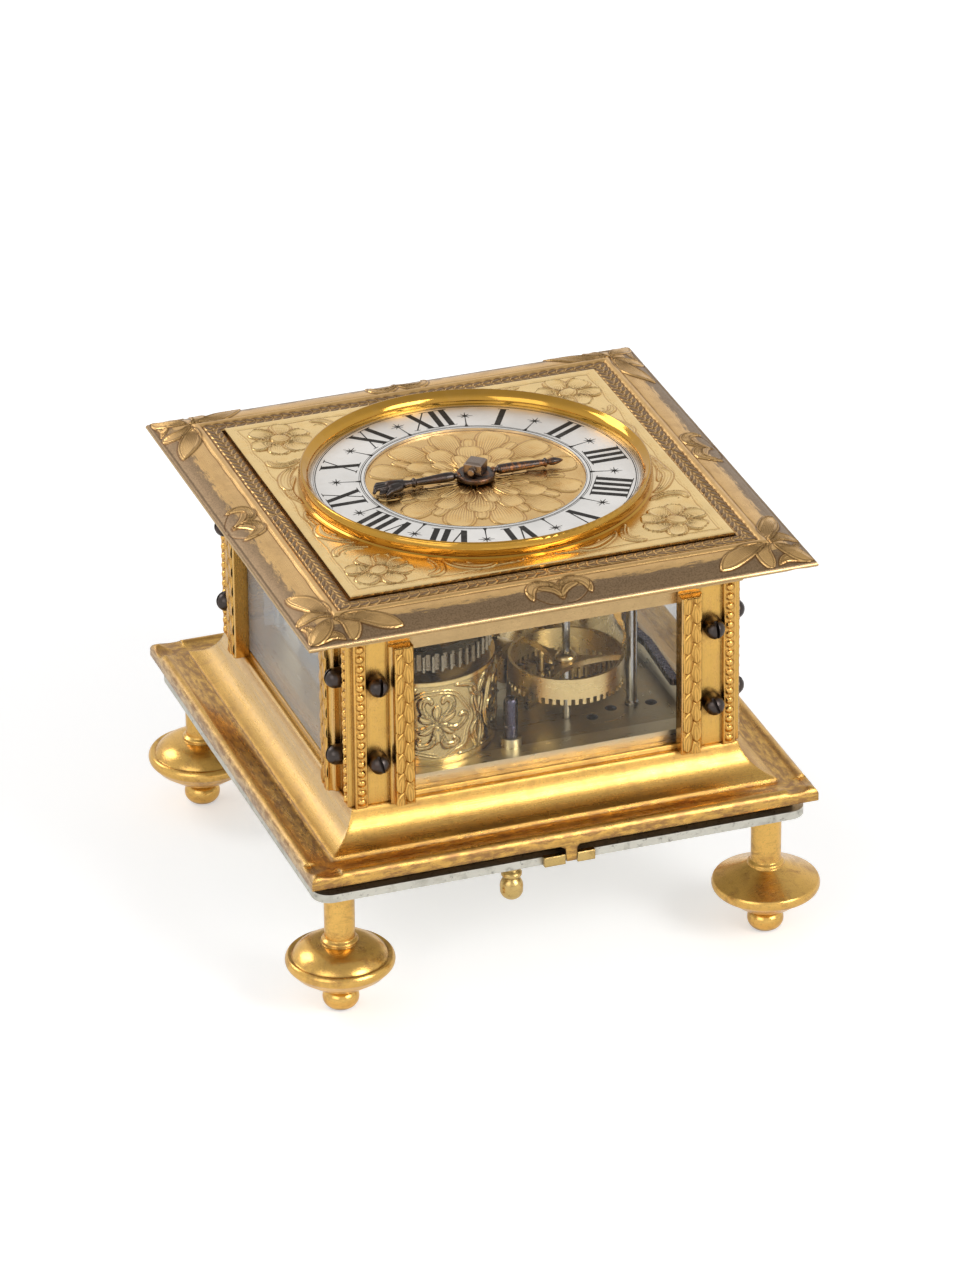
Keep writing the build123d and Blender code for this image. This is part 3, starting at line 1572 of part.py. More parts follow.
# Going barrel with its cap, spring and the line that runs to the fusee
going_low = lower_top + 2.0
going_high = going_low + going_barrel_height
going_bore = going_barrel_radius - barrel_wall
going_arbor_radius = 2.0
flange_radius = going_barrel_radius + 0.6
with BuildPart() as going_barrel:
    turn(
        barrel_at,
        [
            (going_arbor_radius + running_fit, going_low),
            (flange_radius, going_low),
            (flange_radius, going_low + 0.8),
            (going_barrel_radius, going_low + 0.8),
            (going_barrel_radius, going_high - 0.8),
            (flange_radius, going_high - 0.8),
            (flange_radius, going_high),
            (going_bore, going_high),
            (going_bore, going_low + barrel_wall),
            (going_arbor_radius + running_fit, going_low + barrel_wall),
        ],
    )
    turn(
        barrel_at,
        [
            (going_arbor_radius + running_fit, going_high - barrel_wall),
            (going_bore - fixed_fit, going_high - barrel_wall),
            (going_bore - fixed_fit, going_high),
            (going_arbor_radius + running_fit, going_high),
        ],
    )
going_barrel.part.label = "going_barrel"
export_step(going_barrel.part, "parts/going_barrel.step")

with BuildPart() as going_mainspring:
    arbor(barrel_at, going_arbor_radius, high=frame_top + 2.5)
    spring_coil(
        barrel_at,
        going_arbor_radius + 0.2,
        going_bore - 0.3,
        going_low + barrel_wall + 0.5,
        going_high - barrel_wall - 0.5,
    )
going_mainspring.part.label = "going_mainspring"
export_step(going_mainspring.part, "parts/going_mainspring.step")

# The line's straight run, level, from the back of the barrel to the back of the fusee
line_height = great_wheel_high + 0.8 + 6.5 * groove_pitch
line_share = 6.5 / fusee_grooves
fusee_at_line = fusee_base_radius / (1 + line_share * (fusee_base_radius / fusee_top_radius - 1))
barrel_off = going_barrel_radius + line_radius + 0.25
fusee_off = fusee_at_line + line_radius + 0.25
line_apart = math.dist(barrel_at, fusee_at)
line_bearing = bearing_from(barrel_at, fusee_at)
line_tilt = math.degrees(math.asin((barrel_off - fusee_off) / line_apart))
line_start = polar(barrel_at, barrel_off, line_bearing + 90 - line_tilt)
line_end = polar(fusee_at, fusee_off, line_bearing + 90 - line_tilt)
line_plane = Plane(
    origin=(line_start[0], line_start[1], line_height),
    z_dir=(line_end[0] - line_start[0], line_end[1] - line_start[1], 0),
)
with BuildPart() as fusee_line:
    level_bar(line_plane, line_radius, 0, math.dist(line_start, line_end))
fusee_line.part.label = "fusee_line"
export_step(fusee_line.part, "parts/fusee_line.step")

# Hour wheel with its pipe, and the hand, collar and pin on the pipe
pipe_bore = centre_stud_radius + running_fit
disc_low = dial_top + rosette_thickness + hand_clearance
disc_high = disc_low + hand_disc_thickness
hand_z = disc_high - 0.35
pipe_top = disc_high + collar_height - 0.8
pipe_seat_radius = 1.5
with BuildPart() as hour_wheel:
    gear((0, 0), motion_wheel_teeth, motion_module, wheel_form, motion_low, motion_high)
    crossings(
        (0, 0),
        motion_wheel_teeth * motion_module / 2 - 2.4,
        4.0,
        4,
        2.4,
        motion_low - 1,
        motion_high + 1,
    )
    bar((0, 0), hour_pipe_radius, motion_low - 0.4, disc_low)
    bar((0, 0), pipe_seat_radius, disc_low, pipe_top)
    bar((0, 0), pipe_bore, motion_low - 1, dial_top, Mode.SUBTRACT)
hour_wheel.part.label = "hour_wheel"
export_step(hour_wheel.part, "parts/hour_wheel.step")


def hand_bar(heading, points):
    """A turned bar lying level from the middle of the dial, from (reach, radius) points."""
    plane = Plane(origin=(0, 0, hand_z), x_dir=heading, z_dir=(heading[1], -heading[0], 0))
    start, end = points[0][0], points[-1][-2]
    with BuildSketch(plane) as half:
        with BuildLine():
            outline([(start, 0), *points, (end, 0)])
        make_face()
    revolve(half.sketch, axis=Axis((0, 0, hand_z), heading))


tail_turn = math.radians(hand_tail_angle)
with BuildPart() as hour_hand:
    turn(
        (0, 0),
        [
            (0, disc_low),
            (hand_disc_radius - 0.5, disc_low),
            (hand_disc_radius, disc_low + 0.5),
            (hand_disc_radius, disc_high - 0.4),
            (hand_disc_radius - 0.6, disc_high),
            (0, disc_high),
        ],
    )
    hand_bar(
        (-1, 0, 0),
        [
            (3.8, 1.0),
            (4.6, 0.7),
            (5.4, 1.15),
            (7.0, 1.2),
            (14.4, hand_shaft_radius - 0.15),
            (14.7, 1.2),
            (15.1, 1.2),
            (15.4, hand_shaft_radius),
            (16.4, 1.1),
            (hand_arm_reach - 3.5, 1.0),
        ],
    )
    with BuildSketch(Plane.XY.offset(hand_z - 1.0)) as fist:
        with BuildLine():
            outline(
                [
                    (-16.0, -0.9),
                    (-18.5, -2.3, -21.0, -2.6),
                    (-22.4, -3.2),
                    (-21.6, -1.7),
                    (-23.4, -1.3),
                    (-hand_arm_reach, -0.7),
                    (-hand_arm_reach, 0.5),
                    (-23.6, 1.0),
                    (-23.2, 2.1),
                    (-19.6, 2.0, -16.0, 0.9),
                ]
            )
        make_face()
    extrude(fist.sketch, amount=2.2)
    hand_bar(
        (math.cos(tail_turn), math.sin(tail_turn), 0),
        [
            (3.8, 0.9),
            (4.8, 0.6),
            (5.3, 1.15),
            (8.0, 1.2),
            (15.6, 0.85),
            (16.2, 0.8),
            (16.5, 1.15),
            (16.9, 1.15),
            (17.1, 0.6),
            (18.6, 0.95),
            (hand_tail_reach, 0.15),
        ],
    )
    bar((0, 0), pipe_seat_radius + fixed_fit, disc_low - 1, disc_high + 1, Mode.SUBTRACT)
hour_hand.part.label = "hour_hand"
export_step(hour_hand.part, "parts/hour_hand.step")

# Square collar over the pipe, with a round pin in one side
collar_pin_radius = 0.8
collar_plane = Plane(
    origin=(0, 0, disc_high),
    x_dir=(math.cos(math.radians(collar_turn)), math.sin(math.radians(collar_turn)), 0),
    z_dir=(0, 0, 1),
)
pin_plane = Plane(
    origin=(0, 0, disc_high + 1.0),
    x_dir=(0, 0, 1),
    z_dir=-collar_plane.x_dir,
)
with BuildPart() as hand_collar:
    with BuildSketch(collar_plane) as square:
        Rectangle(collar_side, collar_side)
    extrude(square.sketch, amount=collar_height)
    chamfer(hand_collar.edges().group_by(Axis.Z)[-1], 0.5)
    bar((0, 0), pipe_seat_radius + fixed_fit, disc_high - 1, pipe_top + fixed_fit, Mode.SUBTRACT)
    level_bar(pin_plane, collar_pin_radius, collar_side / 2 - 0.1, collar_side / 2 + 1.2)
hand_collar.part.label = "hand_collar"
export_step(hand_collar.part, "parts/hand_collar.step")
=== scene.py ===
import math

import bmesh
import bpy
import numpy
from mathutils import Matrix, Vector


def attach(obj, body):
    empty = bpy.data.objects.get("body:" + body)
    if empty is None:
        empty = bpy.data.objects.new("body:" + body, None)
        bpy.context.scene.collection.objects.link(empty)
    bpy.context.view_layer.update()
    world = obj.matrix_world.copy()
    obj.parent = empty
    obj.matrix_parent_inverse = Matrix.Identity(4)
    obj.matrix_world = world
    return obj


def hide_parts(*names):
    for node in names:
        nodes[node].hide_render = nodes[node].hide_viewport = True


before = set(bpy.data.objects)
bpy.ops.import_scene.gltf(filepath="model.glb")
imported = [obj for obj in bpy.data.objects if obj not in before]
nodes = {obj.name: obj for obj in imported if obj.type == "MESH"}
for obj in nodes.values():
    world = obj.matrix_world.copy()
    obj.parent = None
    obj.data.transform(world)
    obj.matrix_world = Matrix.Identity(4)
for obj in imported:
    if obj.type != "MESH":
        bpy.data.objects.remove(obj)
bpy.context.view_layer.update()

MM = 0.001
SIDES = ("front", "right", "back", "left")

# Heights and places on the solids, in millimetres
RIM_HIGH = 36.0
LIP_HIGH = 39.3
UNDERCUT = 57.5
SCREW_ASIDE = 40.0
SCREW_MIDDLE = 67.3
SCREW_APART = 9.7
LEDGE_OUT = 37.2
DIAL_Z = 99.6
RING_Z = 100.4
HAND_Z = 101.4

# How far a skin of relief lies off the solid under it, and how thick it is where nothing is raised
SKIN_GAP = 0.02
SKIN_DEPTH = 0.09


# ---------------------------------------------------------------- materials
class Finish:
    """A node material whose colour, roughness and bump come from the piece's own coordinates."""

    def __init__(self, name):
        self.material = bpy.data.materials.new(name)
        self.material.use_nodes = True
        self.tree = self.material.node_tree
        self.tree.nodes.clear()
        self.place = self.add("ShaderNodeTexCoord").outputs["Object"]

    def add(self, kind, inputs=None, **settings):
        node = self.tree.nodes.new(kind)
        for key, value in settings.items():
            setattr(node, key, value)
        for key, value in (inputs or {}).items():
            self.feed(node.inputs[key], value)
        return node

    def feed(self, socket, value):
        if isinstance(value, bpy.types.NodeSocket):
            self.tree.links.new(value, socket)
        elif socket.type == "RGBA" and len(value) == 3:
            socket.default_value = (*value, 1)
        else:
            socket.default_value = value

    def stretched(self, factors):
        node = self.add("ShaderNodeMapping", {"Vector": self.place, "Scale": factors})
        return node.outputs["Vector"]

    def split(self, vector):
        return self.add("ShaderNodeSeparateXYZ", {"Vector": vector}).outputs

    def apart(self, value, less=0.0):
        """How far a value is from another, whichever way."""
        offset = self.add("ShaderNodeMath", {0: value, 1: less}, operation="SUBTRACT").outputs[0]
        return self.add("ShaderNodeMath", {0: offset}, operation="ABSOLUTE").outputs[0]

    def sides(self):
        """How far out from the middle a point is, how far along its side, and how high."""
        parts = self.split(self.place)
        east, north = self.apart(parts["X"]), self.apart(parts["Y"])
        return self.maths("MAXIMUM", east, north), self.maths("MINIMUM", east, north), parts["Z"]

    def lengthwise(self, squeeze):
        """Coordinates that run out from the middle and along the nearest side of the square case."""
        out, along, up = self.sides()
        along = self.maths("MULTIPLY", along, squeeze)
        return self.add("ShaderNodeCombineXYZ", {"X": out, "Y": along, "Z": up}).outputs[0]

    def noise(self, scale, detail=4.0, rough=0.55, place=None, warp=0.0):
        inputs = {
            "Vector": place or self.place,
            "Scale": scale,
            "Detail": detail,
            "Roughness": rough,
            "Distortion": warp,
        }
        return self.add("ShaderNodeTexNoise", inputs).outputs["Fac"]

    def span(self, value, low, high, to_low=0.0, to_high=1.0):
        inputs = {
            "Value": value,
            "From Min": low,
            "From Max": high,
            "To Min": to_low,
            "To Max": to_high,
        }
        return self.add("ShaderNodeMapRange", inputs).outputs["Result"]

    def maths(self, operation, first, second):
        node = self.add("ShaderNodeMath", {0: first, 1: second}, operation=operation, use_clamp=True)
        return node.outputs[0]

    def mix(self, factor, first, second):
        node = self.add("ShaderNodeMix", data_type="RGBA", blend_type="MIX")
        self.feed(node.inputs[0], factor)
        self.feed(node.inputs[6], first)
        self.feed(node.inputs[7], second)
        return node.outputs[2]

    # Ambient occlusion: how shut in a point is, used to darken hollows with soil and painted shade
    # together.
    def crevice_dirt_and_shade(self, distance, low=0.35, high=0.85):
        node = self.add("ShaderNodeAmbientOcclusion", {"Distance": distance}, samples=6)
        return self.span(node.outputs["AO"], low, high, 1.0, 0.0)

    def mark(self, layer):
        """What a relief's grid says at this point, nothing on a piece without one."""
        return self.add("ShaderNodeAttribute", attribute_name=layer).outputs["Fac"]

    def screw_distance(self):
        """How far a point of a corner column is from the nearest screw, seen square to its face."""
        _, along, up = self.sides()
        rise = self.apart(up, SCREW_MIDDLE * MM)
        spot = self.add("ShaderNodeCombineXYZ", {"X": along, "Y": rise}).outputs[0]
        screw = (SCREW_ASIDE * MM, SCREW_APART * MM, 0)
        away = self.add("ShaderNodeVectorMath", {0: spot, 1: screw}, operation="DISTANCE")
        return away.outputs["Value"]

    def bump(self, height, strength, distance, soften=0.0):
        node = self.add("ShaderNodeBump", {"Height": height, "Distance": distance, "Strength": strength})
        if soften:
            rounded = self.add("ShaderNodeBevel", {"Radius": soften}, samples=6)
            self.feed(node.inputs["Normal"], rounded.outputs["Normal"])
        return node.outputs["Normal"]

    def close(self, colour, rough, normal=None, metallic=1.0, **fixed):
        shader = self.add("ShaderNodeBsdfPrincipled", {"Base Color": colour, "Roughness": rough})
        shader.inputs["Metallic"].default_value = metallic
        for key, value in fixed.items():
            shader.inputs[key.replace("_", " ")].default_value = value
        if normal is not None:
            self.feed(shader.inputs["Normal"], normal)
        output = self.add("ShaderNodeOutputMaterial")
        self.tree.links.new(shader.outputs[0], output.inputs["Surface"])
        return self.material


def gilt(
    name,
    gold=(0.86, 0.54, 0.16),
    thin=(0.6, 0.4, 0.2),
    grime_and_shade=(0.12, 0.065, 0.025),
    bare=(0.3, 0.22, 0.14),
    rough=(0.18, 0.38),
    worn=0.35,
    dirt_and_shade=0.8,
    specks=0.4,
    streaks=0.0,
    left_painted_reflection=0.0,
    lines=0.85,
    grain=2600,
    bump=0.25,
    soften=0.0,
    upright=False,
    rust_and_screw_shadow=False,
    lip=False,
    ledge=False,
):
    """Metal with gilding: clouded, thin in patches and along streaks, dirty and painted with shade in its
    hollows, finely scratched.

    gold, thin, grime and bare are its colours, grime being that of soil, in specks and engraved lines,
    and of painted shade, and rough its range of roughness. worn, dirt, specks, streaks and faded say how
    much of
    each shows: dirt sets the dirty specks and also the painted shade in hollows, and faded paints a
    greyer reflection onto left-facing faces. lines is how dark the relief's marks are, soil in engraved
    lines and painted shadow round raised forms, and grain how fine the specks are. bump is the depth of
    the scratches and soften the width of a rounded edge. Scratches run along the sides, or upright. rust
    darkens the metal round the case screws, a brown corrosion mark together with a painted shadow of the
    screw heads; lip blotches the lower edge of the base dark brown and paints a shadow into the recess
    under it; and ledge pales the rim of a plate.
    """
    f = Finish(name)
    cloud = f.noise(70, 5, 0.6)
    patch = f.noise(260, 6, 0.65, warp=0.6)
    speck = f.noise(grain, 3, 0.6)
    scratch_place = f.stretched((1, 1, 0.05)) if upright else f.lengthwise(0.05)
    streak = f.noise(1400, 5, 0.65, place=scratch_place)

    colour = f.mix(f.span(cloud, 0.35, 0.7), gold, tuple(0.84 * c for c in gold))
    colour = f.mix(f.maths("MULTIPLY", f.span(patch, 0.5, 0.72), worn), colour, thin)
    if streaks:
        colour = f.mix(f.maths("MULTIPLY", f.span(streak, 0.5, 0.72), streaks), colour, thin)
    if left_painted_reflection:
        # Faces turned to the left are painted greyer, a painted reflection of the dimmer surroundings on
        # that side, broken up along the streaks.
        facing = f.split(f.add("ShaderNodeNewGeometry").outputs["Normal"])["X"]
        leftward = f.span(facing, -0.9, -0.3, 1.0, 0.0)
        share = f.maths("MULTIPLY", leftward, f.span(streak, 0.3, 0.6, 0.5 * left_painted_reflection, left_painted_reflection))
        colour = f.mix(share, colour, (0.66, 0.5, 0.3))

    tatters = f.noise(1100, 6, 0.75, place=f.lengthwise(0.22))
    ragged = f.maths("ADD", f.mark("worn"), f.span(tatters, 0.25, 0.75, -0.5, 0.5))
    rubbed = f.span(ragged, 0.38, 0.62)
    metal = f.mix(f.span(speck, 0.4, 0.6), bare, tuple(1.7 * c for c in bare))
    colour = f.mix(f.maths("MULTIPLY", rubbed, 0.9), colour, metal)
    colour = f.mix(f.maths("MULTIPLY", f.span(speck, 0.58, 0.75), specks * dirt_and_shade), colour, grime_and_shade)
    # Hollows are darkened by soil and by painted shade together, in uneven patches.
    corner = f.maths("MULTIPLY", f.crevice_dirt_and_shade(0.0016), f.span(patch, 0.25, 0.6, 0.55, 1.0))
    colour = f.mix(f.maths("MULTIPLY", corner, dirt_and_shade), colour, grime_and_shade)
    # The relief's dark marks: soil in cut lines, and painted shadow and shade round and between raised
    # forms.
    colour = f.mix(f.maths("MULTIPLY", f.mark("dark"), lines), colour, grime_and_shade)

    if lip:
        out, _, up = f.sides()
        # Below the top of the lip, its face is blotched dark brown, more so towards the bottom.
        blotch = f.span(f.noise(900, 6, 0.7, place=f.lengthwise(0.3)), 0.42, 0.6)
        low = f.span(up, (LIP_HIGH - 0.7) * MM, (LIP_HIGH + 0.3) * MM, 0.8, 0.0)
        colour = f.mix(f.maths("MULTIPLY", low, blotch), colour, (0.26, 0.13, 0.06))
        # A painted shadow, nearly black, in the recess under the lip.
        below = f.span(up, (RIM_HIGH - 0.1) * MM, (RIM_HIGH + 0.1) * MM, 0.92, 0.0)
        under = f.maths("MULTIPLY", below, f.span(out, UNDERCUT * MM, (UNDERCUT + 0.5) * MM, 1.0, 0.0))
        colour = f.mix(under, colour, (0.03, 0.018, 0.01))
    if ledge:
        rim = f.span(f.sides()[0], LEDGE_OUT * MM, (LEDGE_OUT + 0.4) * MM, 0.0, 0.8)
        colour = f.mix(rim, colour, (0.7, 0.62, 0.42))
    if rust_and_screw_shadow:
        # A brown ring round each case screw: a corrosion mark together with a painted shadow of the screw
        # head.
        blur = f.span(f.noise(500, 5, 0.7), 0.3, 0.7, 0.0, 0.0022)
        stain_and_shadow = f.span(f.maths("ADD", f.screw_distance(), blur), 0.003, 0.0048, 0.7, 0.0)
        colour = f.mix(stain_and_shadow, colour, (0.17, 0.07, 0.02))

    uneven = f.maths("ADD", f.maths("MULTIPLY", streak, 0.6), f.maths("MULTIPLY", patch, 0.4))
    smooth = f.span(uneven, 0.3, 0.7, *rough)
    smooth = f.maths("ADD", smooth, f.maths("MULTIPLY", rubbed, 0.12))
    height = f.maths("ADD", f.maths("MULTIPLY", streak, 0.5), f.maths("MULTIPLY", speck, 0.5))
    return f.close(colour, smooth, f.bump(height, bump, 0.00012, soften))


looks = {
    "gilt_case": {"gold": (0.82, 0.5, 0.13), "streaks": 0.25},
    "gilt_base": {
        "gold": (0.78, 0.46, 0.12), "thin": (0.4, 0.21, 0.07), "rough": (0.2, 0.38), "worn": 0.6,
        "specks": 0.7, "streaks": 0.55, "left_painted_reflection": 0.75, "bump": 0.14, "soften": 0.0011, "lip": True,
    },
    "gilt_band": {
        "gold": (0.8, 0.5, 0.2), "thin": (0.46, 0.27, 0.11), "grime_and_shade": (0.15, 0.065, 0.015),
        "bare": (0.17, 0.115, 0.07), "rough": (0.2, 0.4), "worn": 0.45, "streaks": 0.3,
        "lines": 1.0,
    },
    "gilt_dial": {
        "gold": (0.95, 0.68, 0.3), "thin": (0.86, 0.5, 0.14), "grime_and_shade": (0.4, 0.17, 0.02),
        "bare": (0.3, 0.28, 0.26), "rough": (0.16, 0.3), "worn": 0.4, "dirt_and_shade": 0.5, "specks": 0.2,
        "lines": 0.95,
    },
    "gilt_rosette": {
        "gold": (0.9, 0.6, 0.24), "thin": (0.74, 0.4, 0.1), "grime_and_shade": (0.34, 0.14, 0.02),
        "bare": (0.3, 0.28, 0.26), "rough": (0.16, 0.3), "worn": 0.6, "dirt_and_shade": 0.5, "specks": 0.3,
        "lines": 0.95,
    },
    "gilt_strip": {
        "gold": (0.8, 0.46, 0.12), "thin": (0.66, 0.36, 0.1), "grime_and_shade": (0.22, 0.09, 0.015),
        "bare": (0.45, 0.26, 0.08), "rough": (0.16, 0.34), "upright": True,
    },
    "gilt_barrel": {
        "gold": (0.76, 0.56, 0.24), "thin": (0.44, 0.32, 0.14), "grime_and_shade": (0.1, 0.07, 0.03),
        "rough": (0.08, 0.2), "worn": 0.3, "specks": 0.2, "lines": 0.95,
    },
    "gilt_column": {
        "gold": (0.76, 0.45, 0.115), "thin": (0.6, 0.34, 0.12), "rough": (0.16, 0.34),
        "streaks": 0.35, "left_painted_reflection": 0.5, "bump": 0.12, "soften": 0.0003, "upright": True,
        "rust_and_screw_shadow": True,
    },
    "gilt_collar": {
        "gold": (0.26, 0.2, 0.16), "thin": (0.3, 0.22, 0.17), "grime_and_shade": (0.05, 0.03, 0.02),
        "rough": (0.22, 0.36), "worn": 0.6, "specks": 0.3, "bump": 0.15, "soften": 0.0004,
    },
    "gilt_knob": {
        "gold": (0.66, 0.46, 0.17), "thin": (0.4, 0.26, 0.1), "rough": (0.16, 0.34), "worn": 0.7,
        "specks": 0.5, "soften": 0.0006,
    },
    "gilt_rail": {
        "gold": (0.56, 0.38, 0.18), "thin": (0.4, 0.27, 0.13), "rough": (0.2, 0.4), "worn": 0.5,
        "streaks": 0.5, "bump": 0.15,
    },
    "gilt_bright": {
        "gold": (0.56, 0.3, 0.05), "rough": (0.06, 0.15), "worn": 0.1, "dirt_and_shade": 0.3, "specks": 0.1,
        "bump": 0.08,
    },
    "gilt_foot": {
        "gold": (0.8, 0.48, 0.13), "thin": (0.44, 0.24, 0.08), "rough": (0.14, 0.32), "worn": 0.9,
        "specks": 0.5, "streaks": 0.3, "soften": 0.0005,
    },
    "wheel_brass": {"gold": (0.72, 0.54, 0.25), "rough": (0.2, 0.4), "worn": 0.2, "dirt_and_shade": 0.6},
    "bronze": {
        "gold": (0.3, 0.25, 0.17), "thin": (0.2, 0.16, 0.1), "rough": (0.2, 0.4), "worn": 0.4,
        "dirt_and_shade": 0.6, "specks": 0.1,
    },
    "plate_brass": {
        "gold": (0.44, 0.37, 0.23), "rough": (0.2, 0.45), "worn": 0.4, "dirt_and_shade": 0.9, "specks": 0.2,
        "ledge": True,
    },
    "bell_metal": {"gold": (0.6, 0.52, 0.38), "rough": (0.2, 0.35), "worn": 0.2},
    "silvered": {
        "gold": (0.95, 0.92, 0.88), "thin": (0.8, 0.76, 0.7), "grime_and_shade": (0.25, 0.21, 0.16),
        "rough": (0.32, 0.48), "worn": 0.3, "dirt_and_shade": 0.3, "specks": 0.25,
    },
    "ink": {
        "gold": (0.05, 0.045, 0.04), "thin": (0.14, 0.13, 0.12), "grime_and_shade": (0.02, 0.02, 0.018),
        "rough": (0.5, 0.7), "worn": 0.6, "dirt_and_shade": 0.2,
    },
    "tinned": {
        "gold": (0.66, 0.64, 0.56), "thin": (0.3, 0.28, 0.22), "grime_and_shade": (0.07, 0.06, 0.045),
        "rough": (0.3, 0.5), "worn": 0.7, "specks": 1.0, "grain": 900, "bump": 0.7,
    },
    "steel": {
        "gold": (0.46, 0.45, 0.43), "thin": (0.32, 0.27, 0.22), "grime_and_shade": (0.08, 0.06, 0.05),
        "rough": (0.15, 0.3), "worn": 0.3, "specks": 0.05, "bump": 0.1, "upright": True,
    },
    "iron": {
        "gold": (0.075, 0.062, 0.056), "thin": (0.12, 0.06, 0.04), "grime_and_shade": (0.03, 0.02, 0.015),
        "bare": (0.2, 0.085, 0.035), "rough": (0.22, 0.42), "worn": 0.5, "specks": 0.3,
    },
    "blued": {
        "gold": (0.1, 0.09, 0.12), "thin": (0.14, 0.1, 0.09), "grime_and_shade": (0.02, 0.02, 0.02),
        "rough": (0.2, 0.35), "worn": 0.3, "specks": 0.1, "bump": 0.06, "upright": True,
    },
}
finishes = {look: gilt(look, **settings) for look, settings in looks.items()}


def gut(name):
    """Twisted gut line."""
    f = Finish(name)
    twist = f.noise(1800, 3, 0.5)
    colour = f.mix(twist, (0.4, 0.28, 0.14), (0.2, 0.13, 0.06))
    return f.close(colour, f.span(twist, 0, 1, 0.4, 0.6), None, 0.0)


def pane(name, veil, colour):
    """Thin old glass: nearly clear, with a faint veil of dust."""
    f = Finish(name)
    dust = f.noise(120, 4, 0.6)
    tint = f.mix(dust, colour, tuple(0.85 * c for c in colour))
    return f.close(tint, f.span(dust, 0, 1, 0.02, 0.06), None, 0.0, Alpha=veil)


finishes["gut"] = gut("gut_line")
finishes["glass_front"] = pane("glass_front", 0.04, (0.5, 0.5, 0.48))
finishes["glass_side"] = pane("glass_side", 0.36, (0.8, 0.8, 0.78))

by_node = {
    "bottom_cover": "tinned",
    "pull_knob": "gilt_knob",
    "latch_jaws": "gilt_knob",
    "bell": "bell_metal",
    "bell_post": "steel",
    "cover_hinge_leaf": "gilt_case",
    "hinge_pin": "steel",
    "base_moulding": "gilt_base",
    "case_hinge_leaf": "gilt_case",
    "corner_posts": "gilt_case",
    "case_screws": "iron",
    "front_glass": "glass_front",
    "right_glass": "glass_side",
    "left_glass": "glass_side",
    "back_glass": "glass_front",
    "top_frame": "gilt_rail",
    "dial_plate": "gilt_dial",
    "dial_bezel": "gilt_bright",
    "chapter_ring": "silvered",
    "dial_rosette": "gilt_dial",
    "lower_plate": "plate_brass",
    "upper_plate": "plate_brass",
    "pillars": "steel",
    "stop_post": "blued",
    "escapement_brackets": "wheel_brass",
    "balance_cock": "wheel_brass",
    "movement_screws": "iron",
    "strike_barrel": "gilt_dial",
    "strike_mainspring": "blued",
    "fusee_line": "gut",
    "hour_wheel": "wheel_brass",
    "hour_hand": "iron",
    "hand_collar": "gilt_collar",
    "fusee": "wheel_brass",
    "going_great_wheel": "wheel_brass",
    "fusee_arbor": "steel",
    "second_wheel": "wheel_brass",
    "contrate_wheel": "wheel_brass",
    "contrate_arbor": "steel",
    "crown_wheel": "wheel_brass",
    "balance_wheel": "steel",
    "verge": "steel",
    "going_barrel": "wheel_brass",
    "going_mainspring": "blued",
    "strike_great_wheel": "bronze",
    "strike_arbor": "steel",
    "count_wheel": "wheel_brass",
    "pin_wheel": "wheel_brass",
    "hoop_wheel": "wheel_brass",
    "fly": "steel",
    "hammer": "steel",
    "strike_lever": "blued",
}
by_family = {"foot": "gilt_foot", "column": "gilt_column"}
for node_name, node_object in nodes.items():
    finish = by_node.get(node_name) or by_family.get(node_name.split("_")[0], "gilt_case")
    for material_slot in node_object.material_slots:
        material_slot.material = finishes[finish]


